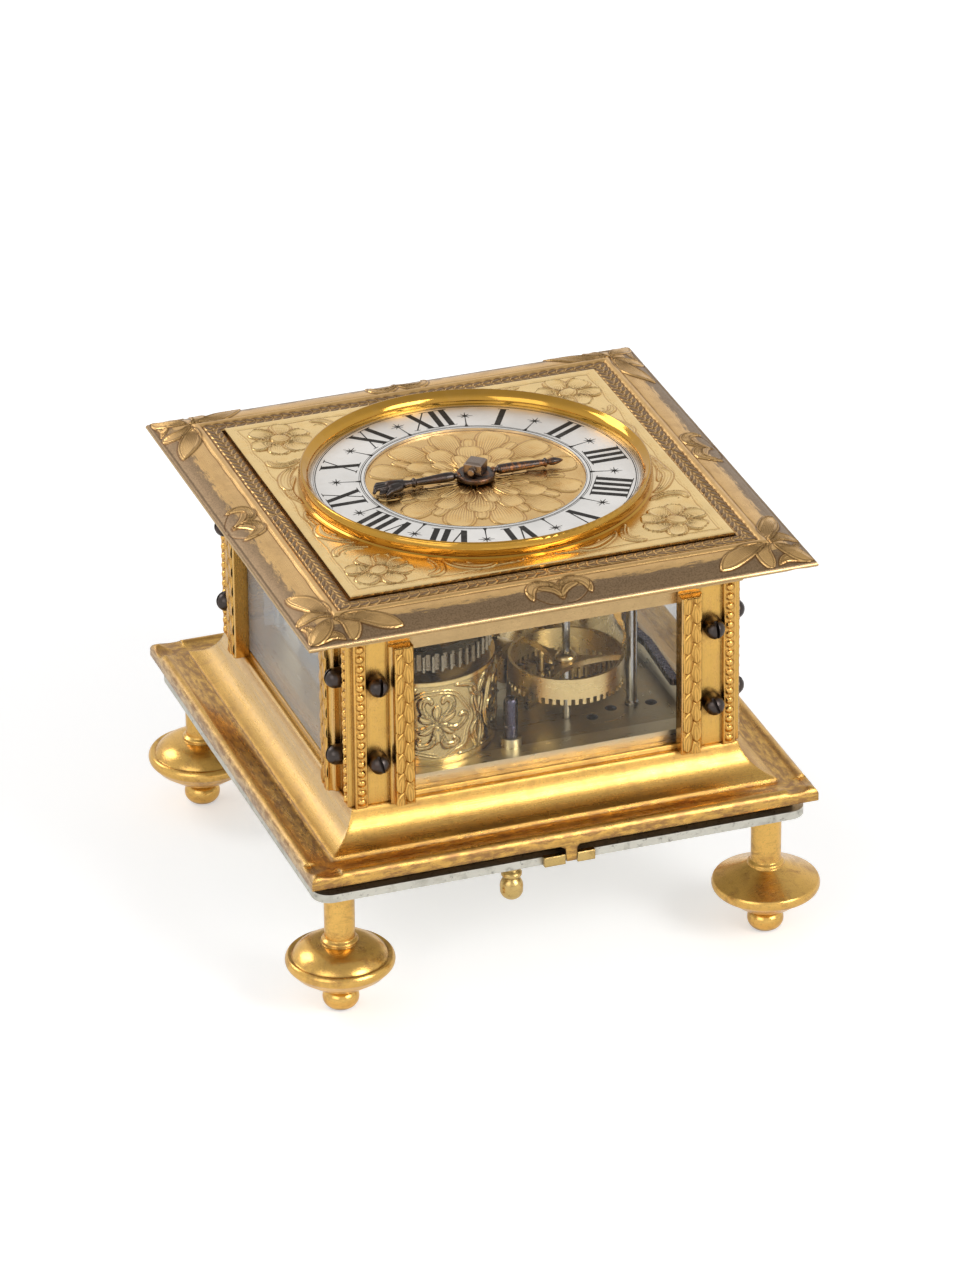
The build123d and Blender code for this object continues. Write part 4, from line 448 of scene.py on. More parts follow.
# ---------------------------------------------------------------- ornament
class Relief:
    """Forms drawn over a grid of points in millimetres: what they raise, where they are darkened, by soil
    in cut lines and by painted shadow and shade round and between raised forms, and where wear lies.
    """

    def __init__(self, across, up):
        self.points = numpy.stack((across, up), -1)
        self.rise = numpy.zeros(across.shape)
        self.dark = numpy.zeros(across.shape)
        self.worn = numpy.zeros(across.shape)

    def near(self, line, reach):
        """The points within reach of a line, with their distance, share along it and side."""
        line = numpy.asarray(line, float)
        low = line.min(0) - reach
        high = line.max(0) + reach
        inside = numpy.nonzero(((self.points > low) & (self.points < high)).all(-1))
        spots = self.points[inside]
        gap = numpy.full(len(spots), 1e9)
        along = numpy.zeros(len(spots))
        side = numpy.zeros(len(spots))
        walked = 0.0
        for start, step in zip(line, numpy.diff(line, axis=0)):
            length = math.hypot(*step)
            offset = spots - start
            share = numpy.clip(offset @ step / length**2, 0, 1)
            distance = numpy.hypot(*(offset - share[:, None] * step).T)
            closer = distance < gap
            gap[closer] = distance[closer]
            along[closer] = walked + share[closer] * length
            side[closer] = numpy.sign(step[0] * offset[:, 1] - step[1] * offset[:, 0])[closer]
            walked += length
        return inside, gap, along / walked, side

    def cut(self, line, width, depth, dark=0.8, taper=0.0):
        """An engraved line, darkened by the soil in it."""
        inside, gap, along, _ = self.near(line, width)
        half = width / 2 * (1 - taper * (2 * along - 1) ** 2)
        fade = numpy.clip(1 - (gap / half) ** 2, 0, 1)
        self.rise[inside] -= depth * fade
        self.dark[inside] = numpy.maximum(self.dark[inside], dark * fade)

    def ridge(self, line, width, rise, taper=0.0, shadow=0.3):
        """A raised line with a dark edge on both sides."""
        inside, gap, along, _ = self.near(line, width + 0.3)
        half = width / 2 * (1 - taper * (2 * along - 1) ** 2)
        fade = numpy.clip(1 - (gap / half) ** 2, 0, 1)
        self.rise[inside] = numpy.maximum(self.rise[inside], rise * fade)
        edge = numpy.exp(-(((gap - half) / 0.12) ** 2))
        self.dark[inside] = numpy.where(fade > 0.3, 0, numpy.maximum(self.dark[inside], shadow * edge))
        self.worn[inside] *= 1 - fade

    def leaf(self, spine, width, body=0.06, rim=0.1, veins=0, shape=(0.7, 0.5), inner=0.6, worn=0.0):
        """A leaf or petal about a spine: a low body, a raised rim, a finer line within it and veins."""
        line = 0.18
        inside, gap, along, side = self.near(spine, width / 2 + 0.4)
        foot, tip = shape
        peak = foot / (foot + tip)
        half = width / 2 * (along / peak) ** foot * ((1 - along) / (1 - peak)) ** tip
        edge = half - gap
        within = numpy.clip(edge / 0.12, 0, 1)
        rise = body * numpy.clip(edge / 0.5, 0, 1)
        rise += rim * numpy.exp(-(((edge - 1.2 * line) / line) ** 2))
        rise += 0.5 * rim * numpy.exp(-(((edge - inner) / line / 0.8) ** 2))
        ribs = numpy.zeros(len(gap))
        if veins:
            spread = side * gap / numpy.maximum(half, 0.05)
            ribs = numpy.cos(math.pi * veins * spread) ** 4 * numpy.clip(1.4 - 1.6 * along, 0, 1)
            rise -= 0.7 * rim * ribs * within
        # Inside the leaf, its veins are darkened like cut lines, and a line of painted shade lies in the
        # trough between the rim and the inner line. Just outside the edge, a painted shadow outlines it.
        outside = numpy.exp(-(((edge + line) / line) ** 2))
        self.rise[inside] = numpy.where(edge > 0, rise, self.rise[inside])
        dark = numpy.maximum(0.9 * ribs, 0.7 * numpy.exp(-(((edge - 2.6 * line) / line / 0.8) ** 2)))
        self.dark[inside] = numpy.where(edge > 0, dark, numpy.maximum(self.dark[inside], 0.9 * outside))
        self.worn[inside] = numpy.where(edge > 0, worn * numpy.clip(edge / 0.6, 0, 1), self.worn[inside])


def curve(*controls):
    """Points along the smooth line that the control points pull."""
    share = numpy.linspace(0, 1, 20)[:, None]
    level = [numpy.array(point, float) for point in controls]
    while len(level) > 1:
        level = [(1 - share) * first + share * second for first, second in zip(level, level[1:])]
    return level[0]


def around(centre, radius, degrees):
    turn = math.radians(degrees)
    return (centre[0] + radius * math.cos(turn), centre[1] + radius * math.sin(turn))


def sweep(centre, *stops):
    """The smooth line pulled by (radius, bearing) stops round a centre."""
    return curve(*(around(centre, radius, bearing) for radius, bearing in stops))


def loop(centre, radius, count=48):
    return [around(centre, radius, 360 * step / count) for step in range(count + 1)]


def on_side(turn, along, out, up):
    """Places along a side of the case, out from its middle and up, on the front turned by quarters."""
    quarter = math.radians(90 * turn)
    east = along * math.cos(quarter) + out * math.sin(quarter)
    north = along * math.sin(quarter) - out * math.cos(quarter)
    return numpy.stack((east, north, up), -1)


def waver(x, y, reach, period, seed):
    """The smooth unevenness of hand work."""
    rng = numpy.random.default_rng(seed)
    total = numpy.zeros(x.shape)
    for turn, phase in rng.uniform(0, math.tau, (5, 2)):
        total += numpy.sin((x * math.cos(turn) + y * math.sin(turn)) * math.tau / period + phase)
    return reach * total / 2.5


def skin(name, relief, spots, body, finish, keep=None, wrap=False, flip=False):
    """A sheet of faces over a relief's grid, at the places given in millimetres."""
    rows, columns = relief.rise.shape
    number = numpy.arange(rows * columns).reshape(rows, columns)
    if wrap:
        number = numpy.concatenate((number, number[:, :1]), axis=1)
    corners = (number[:-1, :-1], number[:-1, 1:], number[1:, 1:], number[1:, :-1])
    quads = numpy.stack(corners[::-1] if flip else corners, -1).reshape(-1, 4)
    if keep is not None:
        quads = quads[keep.ravel()[quads].all(1)]
    used, quads = numpy.unique(quads, return_inverse=True)
    mesh = bpy.data.meshes.new(name)
    mesh.from_pydata((spots.reshape(-1, 3)[used] * MM).tolist(), [], quads.reshape(-1, 4).tolist())
    for key, values in (("dark", relief.dark), ("worn", relief.worn)):
        layer = mesh.attributes.new(key, "FLOAT", "POINT")
        layer.data.foreach_set("value", values.ravel()[used].astype("f"))
    mesh.shade_smooth()
    return dress(name, mesh, body, finish)


def dress(name, mesh, body, finish):
    mesh.materials.append(finishes[finish])
    piece = bpy.data.objects.new(name, mesh)
    bpy.context.scene.collection.objects.link(piece)
    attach(piece, body)
    return piece


def grid(low, high, pitch):
    """Evenly spaced values from low to high, at about the pitch."""
    return numpy.linspace(low, high, max(2, round((high - low) / pitch) + 1))


def three_points(start, middle, end):
    """Points (out, height) along the arc through three points."""
    (ax, ay), (bx, by), (cx, cy) = start, middle, end
    double = 2 * (ax * (by - cy) + bx * (cy - ay) + cx * (ay - by))
    a2, b2, c2 = ax**2 + ay**2, bx**2 + by**2, cx**2 + cy**2
    centre = Vector(
        (
            (a2 * (by - cy) + b2 * (cy - ay) + c2 * (ay - by)) / double,
            (a2 * (cx - bx) + b2 * (ax - cx) + c2 * (bx - ax)) / double,
        )
    )
    first = Vector(start) - centre
    turn = first.angle_signed(Vector(end) - centre)
    return [tuple(centre + Matrix.Rotation(-turn * step / 12, 2) @ first) for step in range(13)]


# Top moulding: leaf band, bead and ovolo with corner fans and middle motifs
BAND_Z = 98.84
BEAD_OUT = 51.7
WEAR_FROM = (52.8, 53.6, 53.8, 54.2)
top_profile = [(45.9, BAND_Z), (49.3, BAND_Z), (49.5, 98.64)]
top_profile += three_points((49.5, 98.64), (50.4, 99.19), (51.5, 98.59))[1:]
top_profile += three_points((51.9, 98.74), (55.8, 98.09), (59.0, 96.5))
top_profile += three_points((59.0, 96.5), (59.8, 96.2), (60.0, 95.8))[1:-1]
top_out, top_height = (numpy.array(values) for values in zip(*top_profile))

BAND_IN, LIP_OUT = 45.95, 59.85
rows = grid(BAND_IN, LIP_OUT, 0.14)
shares = grid(-1, 1, 0.14 / 55)
out, share = numpy.meshgrid(rows, shares, indexing="ij")
for turn in range(4):
    along = share * out
    wave = waver(along, out, 0.16, 9, 40 + turn)
    relief = Relief(out + wave * 0.6, abs(along) + wave)
    for step in range(22):
        start = 0.4 + 2.3 * step
        for foot, bend, tip in ((47.65, 48.7, 48.95), (47.55, 46.5, 46.25)):
            spine = curve((foot, start), (bend, start + 0.7), (tip, start + 2.9))
            relief.leaf(spine, 1.5, 0.16, 0.03, 0, (0.5, 0.6), 9, 0.9)
    relief.cut([(49.35, 0), (49.35, 60)], 0.4, 0.05, 0.9)
    relief.cut([(51.62, 0), (51.62, 60)], 0.35, 0.04, 0.6)
    relief.worn = numpy.maximum(relief.worn, numpy.clip((out - WEAR_FROM[turn]) / 3.6, 0, 0.95))
    relief.leaf(curve((58.9, 51.0), (56.0, 53.5), (58.8, 58.2)), 2.2, 0.05, 0.09, 5)
    relief.leaf(curve((52.2, 52.2), (59.0, 59.0)), 4.4, 0.06, 0.1, 7, (0.8, 0.6))
    relief.leaf(curve((52.0, 51.6), (53.6, 47.0), (59.2, 49.4)), 3.8, 0.08, 0.12, 8, (0.7, 0.5))
    relief.leaf(curve((51.9, 50.4), (52.6, 45.2), (57.9, 37.4)), 5.0, 0.08, 0.13, 6, (0.8, 0.75), 0.8)
    spine = curve((58.0, 0.15), (51.0, 0.4), (51.0, 7.4), (57.6, 6.9))
    relief.leaf(spine, 2.6, 0.06, 0.12, 6, (0.5, 0.5), 0.7)
    relief.leaf(curve((57.6, 0.1), (54.6, 1.6), (54.4, 4.6)), 1.3, 0.03, 0.07)
    relief.cut(curve((54.2, 7.5), (57.6, 7.0), (59.3, 3.8), (59.2, 0.6)), 0.35, 0.05, 0.9)
    edge = numpy.clip(numpy.minimum(out - BAND_IN, LIP_OUT - out) / 0.35, 0, 1)
    lift = numpy.where(out < BEAD_OUT, 1.4, 2.3)
    height = numpy.interp(out, top_out, top_height) + SKIN_GAP
    height += edge * (SKIN_DEPTH + lift * relief.rise)
    spots = on_side(turn, along, out, height)
    skin(f"top_ornament_{SIDES[turn]}", relief, spots, "case", "gilt_band", flip=True)

# Dial plate: a border line and a flower with scrolling leaves in each corner
PLATE_HALF = 45.3
BEZEL_FOOT = 40.3
side = grid(-PLATE_HALF, PLATE_HALF, 0.2)
x, y = numpy.meshgrid(side, side)
wave = waver(x, y, 0.25, 11, 7)
out, along = numpy.maximum(abs(x), abs(y)), numpy.minimum(abs(x), abs(y))
relief = Relief(out + wave, along + waver(x, y, 0.25, 12, 8))
relief.cut([(42.7, 0), (42.7, 43)], 0.3, 0.05, 0.8)
relief.cut([(43.3, 0), (43.3, 44)], 0.18, 0.02, 0.35)
relief.leaf(curve((41.0, 2.0), (43.0, 8.5), (38.6, 15.8)), 1.8, 0.03, 0.08, 2)
relief.leaf(curve((35.5, 20.5), (40.5, 18.5), (43.4, 12.5), (40.6, 9.6)), 2.4, 0.05, 0.1, 2, (0.6, 0.35))
spine = curve((33.2, 24.0), (37.5, 20.0), (42.0, 21.5), (41.8, 25.6))
relief.leaf(spine, 1.9, 0.05, 0.1, 2, (0.6, 0.35))
relief.ridge(curve((34.6, 24.2), (38.5, 22.0), (40.6, 24.0), (39.6, 25.2)), 0.4, 0.09, 0.6)
for bearing, reach in ((15, 6.2), (-38, 6.6), (75, 6.2), (-92, 6.0)):
    sepal = sweep((35, 35), (2.0, bearing), (4.2, bearing + 9), (reach, bearing))
    relief.leaf(sepal, 1.3, 0.03, 0.08)
flower = (35.2, 35.2)
for bearing in (45, -15, -68, -112):
    petal = sweep(flower, (1.2, bearing), (4.5, bearing - 6), (7.6, bearing))
    relief.leaf(petal, 5.0, 0.06, 0.13, 6, (0.7, 0.32), 0.7)
relief.leaf(curve((33.6, 33.6), (35.2, 35.2), (36.9, 36.9)), 3.9, 0.14, 0.06, 5, (0.5, 0.5), 9)
reach = numpy.hypot(x, y)
edge = numpy.clip((PLATE_HALF - out) / 0.4, 0, 1)
spots = numpy.stack((x, y, DIAL_Z + SKIN_GAP + edge * (SKIN_DEPTH + 2.4 * relief.rise)), -1)
skin("dial_ornament", relief, spots, "case", "gilt_dial", keep=reach > BEZEL_FOOT)

# Rosette: five rings of petals round the hour hand's pipe, in place of the plain disc
radii = grid(2.9, 25.15, 0.18)
turns = numpy.arange(760) * -math.tau / 760
radius, angle = numpy.meshgrid(radii, turns, indexing="ij")
x, y = radius * numpy.cos(angle), radius * numpy.sin(angle)
relief = Relief(x + waver(x, y, 0.3, 14, 3), y + waver(x, y, 0.3, 13, 4))
relief.dark += 0.22
for ring_count, first, foot, tip, width, veins in (
    (12, 0, 12.5, 24.2, 7.4, 6),
    (12, 15, 13.0, 20.5, 3.0, 2),
    (12, 15, 6.5, 16.8, 6.0, 5),
    (12, 0, 5.0, 12.4, 3.6, 2),
    (8, 0, 3.0, 8.6, 3.6, 2),
):
    for step in range(ring_count):
        bearing = first + 360 * step / ring_count
        petal = sweep((0, 0), (foot, bearing), ((foot + tip) / 2, bearing + 2), (tip, bearing))
        relief.leaf(petal, width, 0.1, 0.12, veins, (0.55, 0.24), 0.75)
top = DIAL_Z + 0.17 + 1.5 * relief.rise
spots = numpy.stack((x, y, numpy.minimum(top, DIAL_Z + 0.5)), -1)
rim_low = spots[-1:] * (1, 1, 0) + (0, 0, DIAL_Z + SKIN_GAP)
hole_low = spots[:1] * (1, 1, 0) + (0, 0, DIAL_Z + SKIN_GAP)
spots = numpy.concatenate((hole_low, spots, rim_low, hole_low))
for layer in ("rise", "dark", "worn"):
    values = getattr(relief, layer)
    setattr(relief, layer, numpy.concatenate((values[:1], values, values[-1:], values[:1])))
rosette = skin("rosette", relief, spots, "case", "gilt_rosette", wrap=True)
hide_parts("dial_rosette")

# Numerals, half-hour stars and circles on the chapter ring
letters = {
    "I": (2.5, [(1.25, 1.25, 1.4)]),
    "V": (4.8, [(0.9, 2.5, 1.4), (4.3, 2.7, 0.34)]),
    "X": (5.4, [(1.1, 4.2, 1.4), (4.7, 0.7, 0.34)]),
}
marks = []


def mark(bearing, corners):
    """A flat mark at a bearing clockwise from XII, from (aside, out) corners."""
    turn = math.radians(bearing)
    across, up = (math.cos(turn), -math.sin(turn)), (math.sin(turn), math.cos(turn))
    marks.append([(a * across[0] + r * up[0], r * up[1] + a * across[1]) for a, r in corners])


def bar(bearing, start, end, width, end_width=None):
    """A straight mark from start to end, as wide at its end as at its start unless told."""
    start, end = Vector(start), Vector(end)
    aside = Vector((start.y - end.y, end.x - start.x)).normalized()
    near, far = aside * width / 2, aside * (width if end_width is None else end_width) / 2
    mark(bearing, [tuple(spot) for spot in (start - near, end - far, end + far, start + near)])


LETTER_LOW, LETTER_HIGH = 27.2, 35.6
for hour, word in enumerate("I II III IIII V VI VII VIII IX X XI XII".split(), 1):
    bearing = 30 * hour
    place = -sum(letters[letter][0] for letter in word) / 2
    for letter in word:
        advance, strokes = letters[letter]
        for head, foot, width in strokes:
            left, right = place - width / 2, place + width / 2
            corners = [(left + foot, LETTER_LOW), (left + head, LETTER_HIGH)]
            corners += [(right + head, LETTER_HIGH), (right + foot, LETTER_LOW)]
            mark(bearing, corners)
            over = width / 2 + 0.6
            bar(bearing, (place + head - over, LETTER_HIGH), (place + head + over, LETTER_HIGH), 0.2)
            if letter != "V":
                bar(bearing, (place + foot - over, LETTER_LOW), (place + foot + over, LETTER_LOW), 0.2)
        place += advance
    star = bearing + 15
    bar(star, (0, 26.2), (0, 27.4), 0.95, 0.34)
    bar(star, (0, 27.4), (0, 33.2), 0.3, 0.12)
    for arm in range(8):
        tip = around((0, 31.7), (1.85, 1.35)[arm % 2], 45 * arm)
        bar(star, (0, 31.7), tip, 0.38, 0.08)
vertices = []
faces = []
for corners in marks:
    faces.append(list(range(len(vertices), len(vertices) + len(corners)))[::-1])
    level = RING_Z + SKIN_GAP + 0.0005 * (len(faces) % 5)
    vertices += [(px * MM, py * MM, level * MM) for px, py in corners]
for low, high in ((25.3, 25.42), (26.02, 26.22), (26.45, 26.57), (36.45, 36.65), (36.9, 37.0)):
    for step in range(180):
        first, last = 2 * step, 2 * step + 2
        stops = ((low, first), (high, first), (high, last), (low, last))
        corners = [around((0, 0), *stop) for stop in stops]
        faces.append(list(range(len(vertices), len(vertices) + 4)))
        vertices += [(px * MM, py * MM, (RING_Z + SKIN_GAP) * MM) for px, py in corners]
mesh = bpy.data.meshes.new("numerals")
mesh.from_pydata(vertices, [], faces)
dress("numerals", mesh, "case", "ink")

# Hour hand: a closed fist with its thumb on one arm, a leaf point on the other
def rings(form, stops, aside, above, count):
    """A closed skin through circles given as (centre, radius)."""
    loops = []
    for centre, radius in stops:
        ring = []
        for step in range(count):
            turn = math.tau * step / count
            offset = (aside * math.cos(turn) + above * math.sin(turn)) * radius
            ring.append(form.verts.new(centre + offset))
        loops.append(ring)
    for low, high in zip(loops, loops[1:]):
        for step in range(count):
            form.faces.new((low[step - 1], low[step], high[step], high[step - 1]))
    form.faces.new(loops[0][::-1])
    form.faces.new(loops[-1])


def blob(form, start, end, first, last):
    """A tapering round-ended bar between two places, for joining into a sculpted form."""
    start, end = Vector(start), Vector(end)
    along = (end - start).normalized()
    aside = along.cross((0, 0, 1)).normalized()
    stops = [(start - along * first * c, first * s) for c, s in ((0.97, 0.24), (0.7, 0.7), (0.25, 0.97))]
    stops += [(end + along * last * c, last * s) for c, s in ((0.25, 0.97), (0.7, 0.7), (0.97, 0.24))]
    rings(form, stops, aside, aside.cross(along), 14)


def lathe(form, start, along, profile, count=28):
    """A turned form about a line, from (distance along, radius) points."""
    along = Vector(along).normalized()
    aside = along.orthogonal().normalized()
    stops = [(Vector(start) + along * distance, radius) for distance, radius in profile]
    rings(form, stops, aside, along.cross(aside), count)


FIST_ARM = [
    (3.7, 0.7), (4.0, 1.0), (4.4, 0.95), (4.7, 0.6), (5.1, 0.75), (5.6, 1.05), (7.0, 1.18),
    (9.0, 1.08), (14.3, 0.78), (14.5, 1.0), (14.8, 1.2), (15.1, 1.0), (15.4, 0.75), (16.4, 0.8),
]
LEAF_ARM = [
    (3.7, 0.6), (4.0, 0.88), (4.4, 0.8), (4.8, 0.55), (5.2, 0.9), (5.7, 1.12), (8.0, 1.16),
    (12.0, 1.0), (15.6, 0.82), (16.2, 0.76), (16.4, 1.0), (16.7, 1.14), (16.95, 0.9),
    (17.15, 0.56), (17.9, 0.85), (18.7, 0.92), (19.9, 0.6), (20.9, 0.18),
]
HUB = [(0, 4.1), (0.12, 4.35), (0.35, 4.47), (1.0, 4.48), (1.3, 4.3), (1.45, 4.0), (1.5, 2.4)]

form = bmesh.new()
for start, end, first, last in (
    ((-15.8, 0, 0), (-18.0, -0.1, 0.05), 0.75, 1.25),
    ((-17.8, 0.1, 0.05), (-20.6, 0.3, 0.15), 1.2, 1.25),
    ((-18.2, -0.6, 0.0), (-20.4, -1.2, 0.0), 1.05, 1.15),
    ((-19.6, 1.1, 0.1), (-23.1, 1.6, 0.15), 0.75, 0.6),
    ((-23.1, 1.6, 0.15), (-23.6, 0.9, -0.5), 0.58, 0.5),
    ((-20.2, 0.5, 0.25), (-23.7, 0.6, 0.2), 0.72, 0.58),
    ((-23.7, 0.6, 0.2), (-24.2, -0.1, -0.5), 0.54, 0.46),
    ((-20.4, -0.3, 0.2), (-24.1, -0.4, 0.1), 0.7, 0.54),
    ((-24.1, -0.4, 0.1), (-24.6, -0.8, -0.5), 0.5, 0.42),
    ((-18.6, -1.2, 0.0), (-21.2, -2.4, 0.0), 1.0, 0.72),
    ((-21.2, -2.4, 0.0), (-22.3, -3.1, -0.3), 0.68, 0.36),
):
    blob(form, start, end, first, last)
for x in (-22.9, -22.3, -21.7):
    blob(form, (x, -0.9, -0.35), (x - 0.5, -1.6, -0.6), 0.38, 0.3)
lathe(form, (0, 0, 0), (-1, 0, 0), FIST_ARM)
turn = math.radians(-2.0)
lathe(form, (0, 0, 0), (math.cos(turn), math.sin(turn), 0), LEAF_ARM)
lathe(form, (0, 0, -1.2), (0, 0, 1), HUB, 64)
bmesh.ops.recalc_face_normals(form, faces=form.faces)
mesh = bpy.data.meshes.new("hand")
form.to_mesh(mesh)
form.free()
mesh.transform(Matrix.Translation((0, 0, HAND_Z)))
hand = dress("hour_hand_sculpted", mesh, "hour", "iron")
melt = hand.modifiers.new("melt", "REMESH")
melt.mode = "VOXEL"
melt.voxel_size = 0.13
ease = hand.modifiers.new("ease", "SMOOTH")
ease.iterations = 3
shaped = bpy.data.meshes.new_from_object(hand.evaluated_get(bpy.context.evaluated_depsgraph_get()))
hand.modifiers.clear()
hand.data = shaped
shaped.transform(Matrix.Scale(MM, 4))
shaped.shade_smooth()
for key in ("dark", "worn"):
    layer = shaped.attributes.new(key, "FLOAT", "POINT")
    place = numpy.empty(3 * len(shaped.vertices), "f")
    shaped.vertices.foreach_get("co", place)
    x = place[::3] / MM
    amount = numpy.where(x > 4.6, 0.42, numpy.where(abs(x) < 4.6, 0.4, 0.0)) if key == "worn" else 0 * x
    layer.data.foreach_set("value", amount.astype("f"))
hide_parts("hour_hand")

# Columns: bead strips and leaf strips, each on the eight faces
STRIP_LOW, BEADS_HIGH, LEAVES_HIGH = 47.0, 87.9, 86.4
BEADS_OUT, LEAVES_OUT = 46.73, 48.53
bead = Relief(*numpy.meshgrid(grid(42.55, 45.43, 0.12), grid(STRIP_LOW, BEADS_HIGH, 0.12)))
for line in (42.8, 45.15):
    bead.ridge([(line, STRIP_LOW), (line, BEADS_HIGH)], 0.42, 0.2)
for step in range(17):
    middle = (43.98, 48.4 + 2.4 * step)
    gap = numpy.hypot(bead.points[..., 0] - middle[0], bead.points[..., 1] - middle[1])
    bead.rise = numpy.maximum(bead.rise, 0.75 * numpy.sqrt(numpy.clip(0.92**2 - gap**2, 0, 1)))
    # A painted shadow ring round the foot of each bead.
    bead.dark = numpy.maximum(bead.dark, 0.6 * numpy.exp(-(((gap - 1.02) / 0.16) ** 2)))
strip = Relief(*numpy.meshgrid(grid(32.15, 36.4, 0.12), grid(STRIP_LOW, LEAVES_HIGH, 0.12)))
strip.dark += 0.3
for step in range(16, -2, -1):
    foot = 47.4 + 2.5 * step
    lean = 0.75 if step % 2 else -0.75
    stops = [(34.25 + lean * share, foot + rise) for share, rise in ((1.5, 0), (1.7, 2.5), (0.7, 5.2))]
    strip.leaf(curve(*stops), 2.7, 0.34, 0.08, 2, (0.5, 0.95), 0.5)
for line in (32.35, 36.15):
    strip.ridge([(line, STRIP_LOW), (line, LEAVES_HIGH)], 0.36, 0.22)
for name, relief, level in (("beads", bead, BEADS_OUT), ("leaves", strip, LEAVES_OUT)):
    across, up = relief.points[..., 0], relief.points[..., 1]
    for turn, side_name in enumerate(SIDES):
        for hand, hand_name in ((-1, "a"), (1, "b")):
            spots = on_side(turn, hand * across, level + relief.rise, up)
            piece_name = f"{name}_{side_name}_{hand_name}"
            skin(piece_name, relief, spots, "case", "gilt_strip", flip=hand < 0)

# Striking barrel: engraved medallions with leaves between them
barrel_at, barrel_radius = (-21.9, -22.6), 17.2
pitch = math.tau * barrel_radius / 5
arcs = numpy.arange(560) * math.tau * barrel_radius / 560
arc, up = numpy.meshgrid(arcs, grid(50.6, 71.4, 0.19))
folded = abs((arc + pitch / 2) % pitch - pitch / 2)
wave = waver(arc, up, 0.3, 7, 12)
relief = Relief(folded + wave, up - 60.9 + waver(arc, up, 0.3, 6, 13))
relief.dark += 0.3
for bearing in (90, 30, -30, -90):
    relief.leaf(sweep((0, 0), (0.6, bearing), (2.6, bearing + 8), (4.8, bearing)), 2.2, 0.1, 0.12, 2)
for bearing in (62, 0, -58):
    stops = ((2.6, bearing - 8), (7.4, bearing - 30), (9.0, bearing + 16), (5.2, bearing + 14))
    scroll = sweep((0, 0), *stops)
    relief.leaf(scroll, 1.5, 0.1, 0.12, 2, (0.5, 0.4), 0.5)
for radius in (7.9, 8.6):
    relief.ridge(loop((0, 0), radius), 0.34, 0.14)
for spine in (
    curve((10.8, -9.0), (8.6, -5.5), (10.4, -1.2)),
    curve((10.8, -2.6), (9.0, 2.5), (10.5, 6.6)),
    curve((10.8, 4.0), (9.6, 7.5), (7.4, 9.2)),
    curve((10.0, -8.6), (7.5, -9.4), (5.0, -8.6)),
    curve((9.6, 8.2), (7.0, 9.5), (4.4, 8.9)),
):
    relief.leaf(spine, 1.8, 0.1, 0.12, 2, (0.6, 0.5), 0.5)
plain = numpy.clip(numpy.minimum(up - 52.2, 70.4 - up) / 0.2, 0, 1)
relief.rise *= plain
relief.dark *= plain
relief.dark = numpy.maximum(relief.dark, 0.7 * numpy.exp(-(((up - 52.2) / 0.15) ** 2)))
relief.dark = numpy.maximum(relief.dark, 0.7 * numpy.exp(-(((up - 70.4) / 0.15) ** 2)))
bearing = math.radians(-95.8) + arc / barrel_radius
reach = barrel_radius + 0.06 + 2.4 * relief.rise
east, north = barrel_at[0] + reach * numpy.cos(bearing), barrel_at[1] + reach * numpy.sin(bearing)
spots = numpy.stack((east, north, up), -1)
skin("barrel_engraving", relief, spots, "case", "gilt_barrel", wrap=True)


# ---------------------------------------------------------------- floor, light and camera
FLOOR_HALF = 6.0
signs = ((-1, -1), (1, -1), (1, 1), (-1, 1))
corners = [(FLOOR_HALF * east, FLOOR_HALF * north, 0) for east, north in signs]
mesh = bpy.data.meshes.new("floor")
mesh.from_pydata(corners, [], [(0, 1, 2, 3)])
floor = bpy.data.objects.new("floor", mesh)
bpy.context.scene.collection.objects.link(floor)
paper = Finish("paper")
rays = paper.add("ShaderNodeLightPath").outputs
mirrored = paper.maths("MULTIPLY", rays["Is Glossy Ray"], 0.3)
seen = paper.maths("MAXIMUM", rays["Is Camera Ray"], rays["Is Transmission Ray"])
seen = paper.maths("MAXIMUM", paper.maths("MULTIPLY", seen, 0.45), mirrored)
sheet = paper.add("ShaderNodeBsdfPrincipled", {"Base Color": (0.82, 0.82, 0.82, 1), "Roughness": 0.9})
glow = paper.add("ShaderNodeEmission", {"Color": (1, 1, 1, 1), "Strength": seen})
both = paper.add("ShaderNodeAddShader", {0: sheet.outputs[0], 1: glow.outputs[0]})
out = paper.add("ShaderNodeOutputMaterial")
paper.tree.links.new(both.outputs[0], out.inputs["Surface"])
floor.data.materials.append(paper.material)

world = bpy.data.worlds.new("studio")
bpy.context.scene.world = world
world.use_nodes = True
sky = world.node_tree
sky.nodes.clear()


def sky_node(kind, links, values=(), **settings):
    node = sky.nodes.new(kind)
    for key, value in settings.items():
        setattr(node, key, value)
    for key, value in dict(values).items():
        node.inputs[key].default_value = value
    for key, socket in links.items():
        sky.links.new(socket, node.inputs[key])
    return node


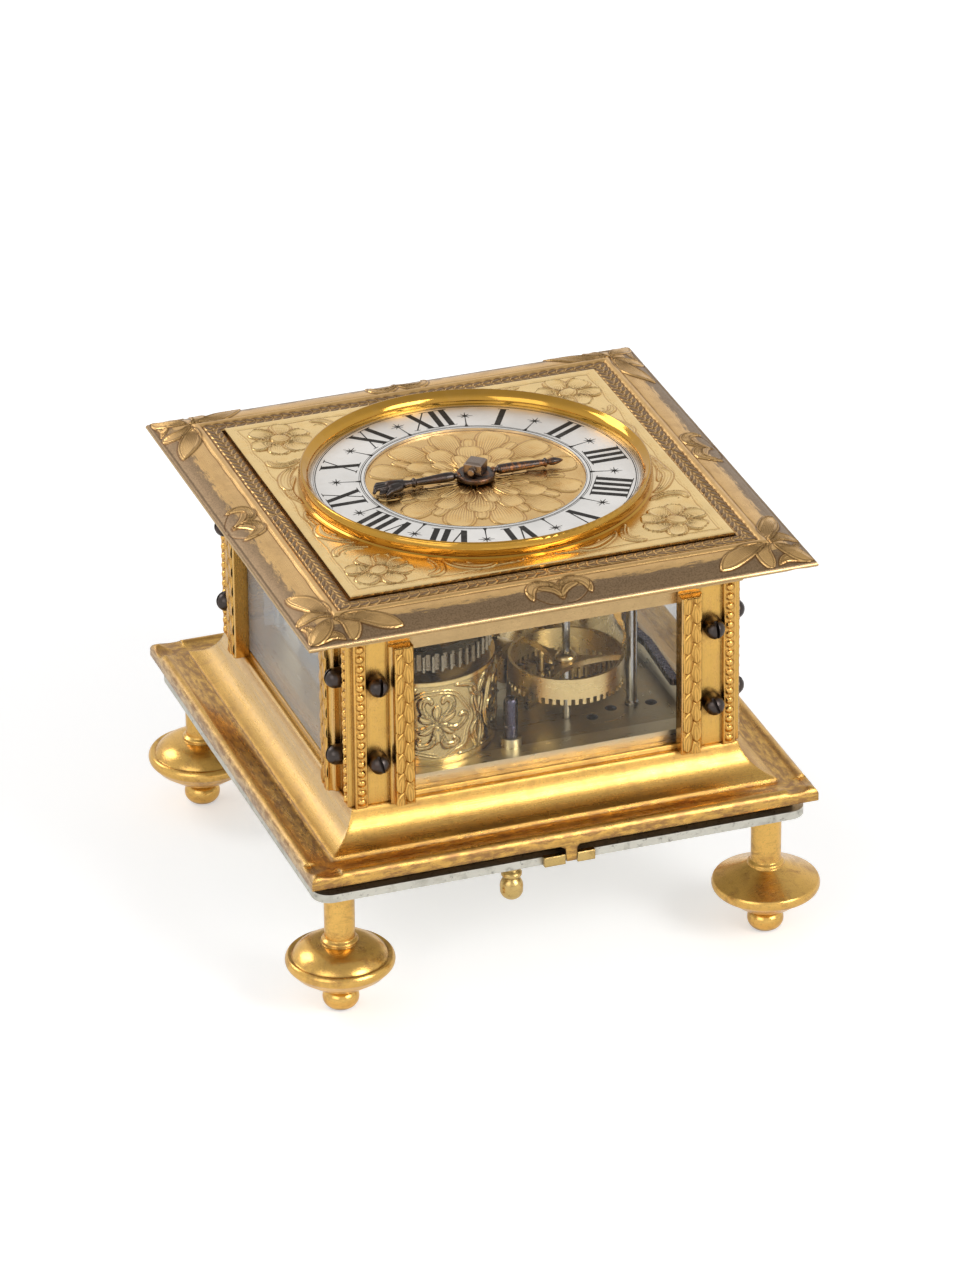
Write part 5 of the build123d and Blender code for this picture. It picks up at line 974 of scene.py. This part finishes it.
sky_rays = sky.nodes.new("ShaderNodeLightPath").outputs
seen_rays = {0: sky_rays["Is Camera Ray"], 1: sky_rays["Is Transmission Ray"]}
sharp = sky_node("ShaderNodeMath", seen_rays, operation="MAXIMUM")
bearing_out = sky.nodes.new("ShaderNodeTexCoord").outputs["Generated"]
upward = sky_node("ShaderNodeSeparateXYZ", {"Vector": bearing_out})
fall = {"From Min": 0.45, "From Max": 0.95, "To Min": 0.9, "To Max": 0.55}
ceiling = sky_node("ShaderNodeMapRange", {"Value": upward.outputs["Z"]}, fall)
soft = sky_node("ShaderNodeMix", {0: sky_rays["Is Glossy Ray"], 3: ceiling.outputs[0]}, {2: 0.45})
strength = sky_node("ShaderNodeMix", {0: sharp.outputs[0], 2: soft.outputs[0]}, {3: 1.0})
background = sky_node("ShaderNodeBackground", {"Strength": strength.outputs[0]}, {"Color": (1, 1, 1, 1)})
sky_node("ShaderNodeOutputWorld", {"Surface": background.outputs[0]})


def softbox(name, place, target, size, power):
    """A white area lamp in watts, aimed at a target."""
    lamp = bpy.data.lights.new(name, "AREA")
    lamp.shape = "RECTANGLE"
    lamp.size, lamp.size_y = size
    lamp.energy = power
    holder = bpy.data.objects.new(name, lamp)
    holder.location = place
    holder.rotation_euler = (Vector(target) - Vector(place)).to_track_quat("-Z", "Y").to_euler()
    bpy.context.scene.collection.objects.link(holder)


softbox("key", (0.6, -0.95, 0.74), (0, 0, 0.06), (0.6, 0.6), 8)
softbox("fill", (-0.9, -0.7, 0.7), (0, 0, 0.06), (0.8, 0.8), 3)
softbox("front", (0.25, -1.5, 0.12), (0, 0, 0.06), (1.4, 0.16), 0.3)
softbox("back", (-0.8, 0.9, 0.9), (-0.25, 0.5, 0), (0.6, 0.6), 5)

# The camera stands where the photograph was taken from, as fitted to the square edges of the case
FOCAL_PIXELS = 7583.3
PHOTO_HIGH = 1280
CAMERA_AT = (-509.9, -1458.8, 865.0)
CAMERA_TURNS = (-19.29, 27.56, -0.57)
camera_data = bpy.data.cameras.new("camera")
camera_data.sensor_width = 36
camera_data.lens = FOCAL_PIXELS * 36 / PHOTO_HIGH
camera_data.clip_start = 0.05
camera = bpy.data.objects.new("camera", camera_data)
azimuth, elevation, roll = (math.radians(turn) for turn in CAMERA_TURNS)
flat = math.cos(elevation)
back = Vector((math.sin(azimuth) * flat, -math.cos(azimuth) * flat, math.sin(elevation)))
right = (-back).cross(Vector((0, 0, 1))).normalized()
down = (-back).cross(right)
right, down = (
    math.cos(roll) * right - math.sin(roll) * down,
    math.sin(roll) * right + math.cos(roll) * down,
)
turn = Matrix((right, -down, back)).transposed()
camera.matrix_world = Matrix.Translation(Vector(CAMERA_AT) * MM) @ turn.to_4x4()
bpy.context.scene.collection.objects.link(camera)
bpy.context.scene.camera = camera
bpy.context.scene.view_settings.view_transform = "Standard"
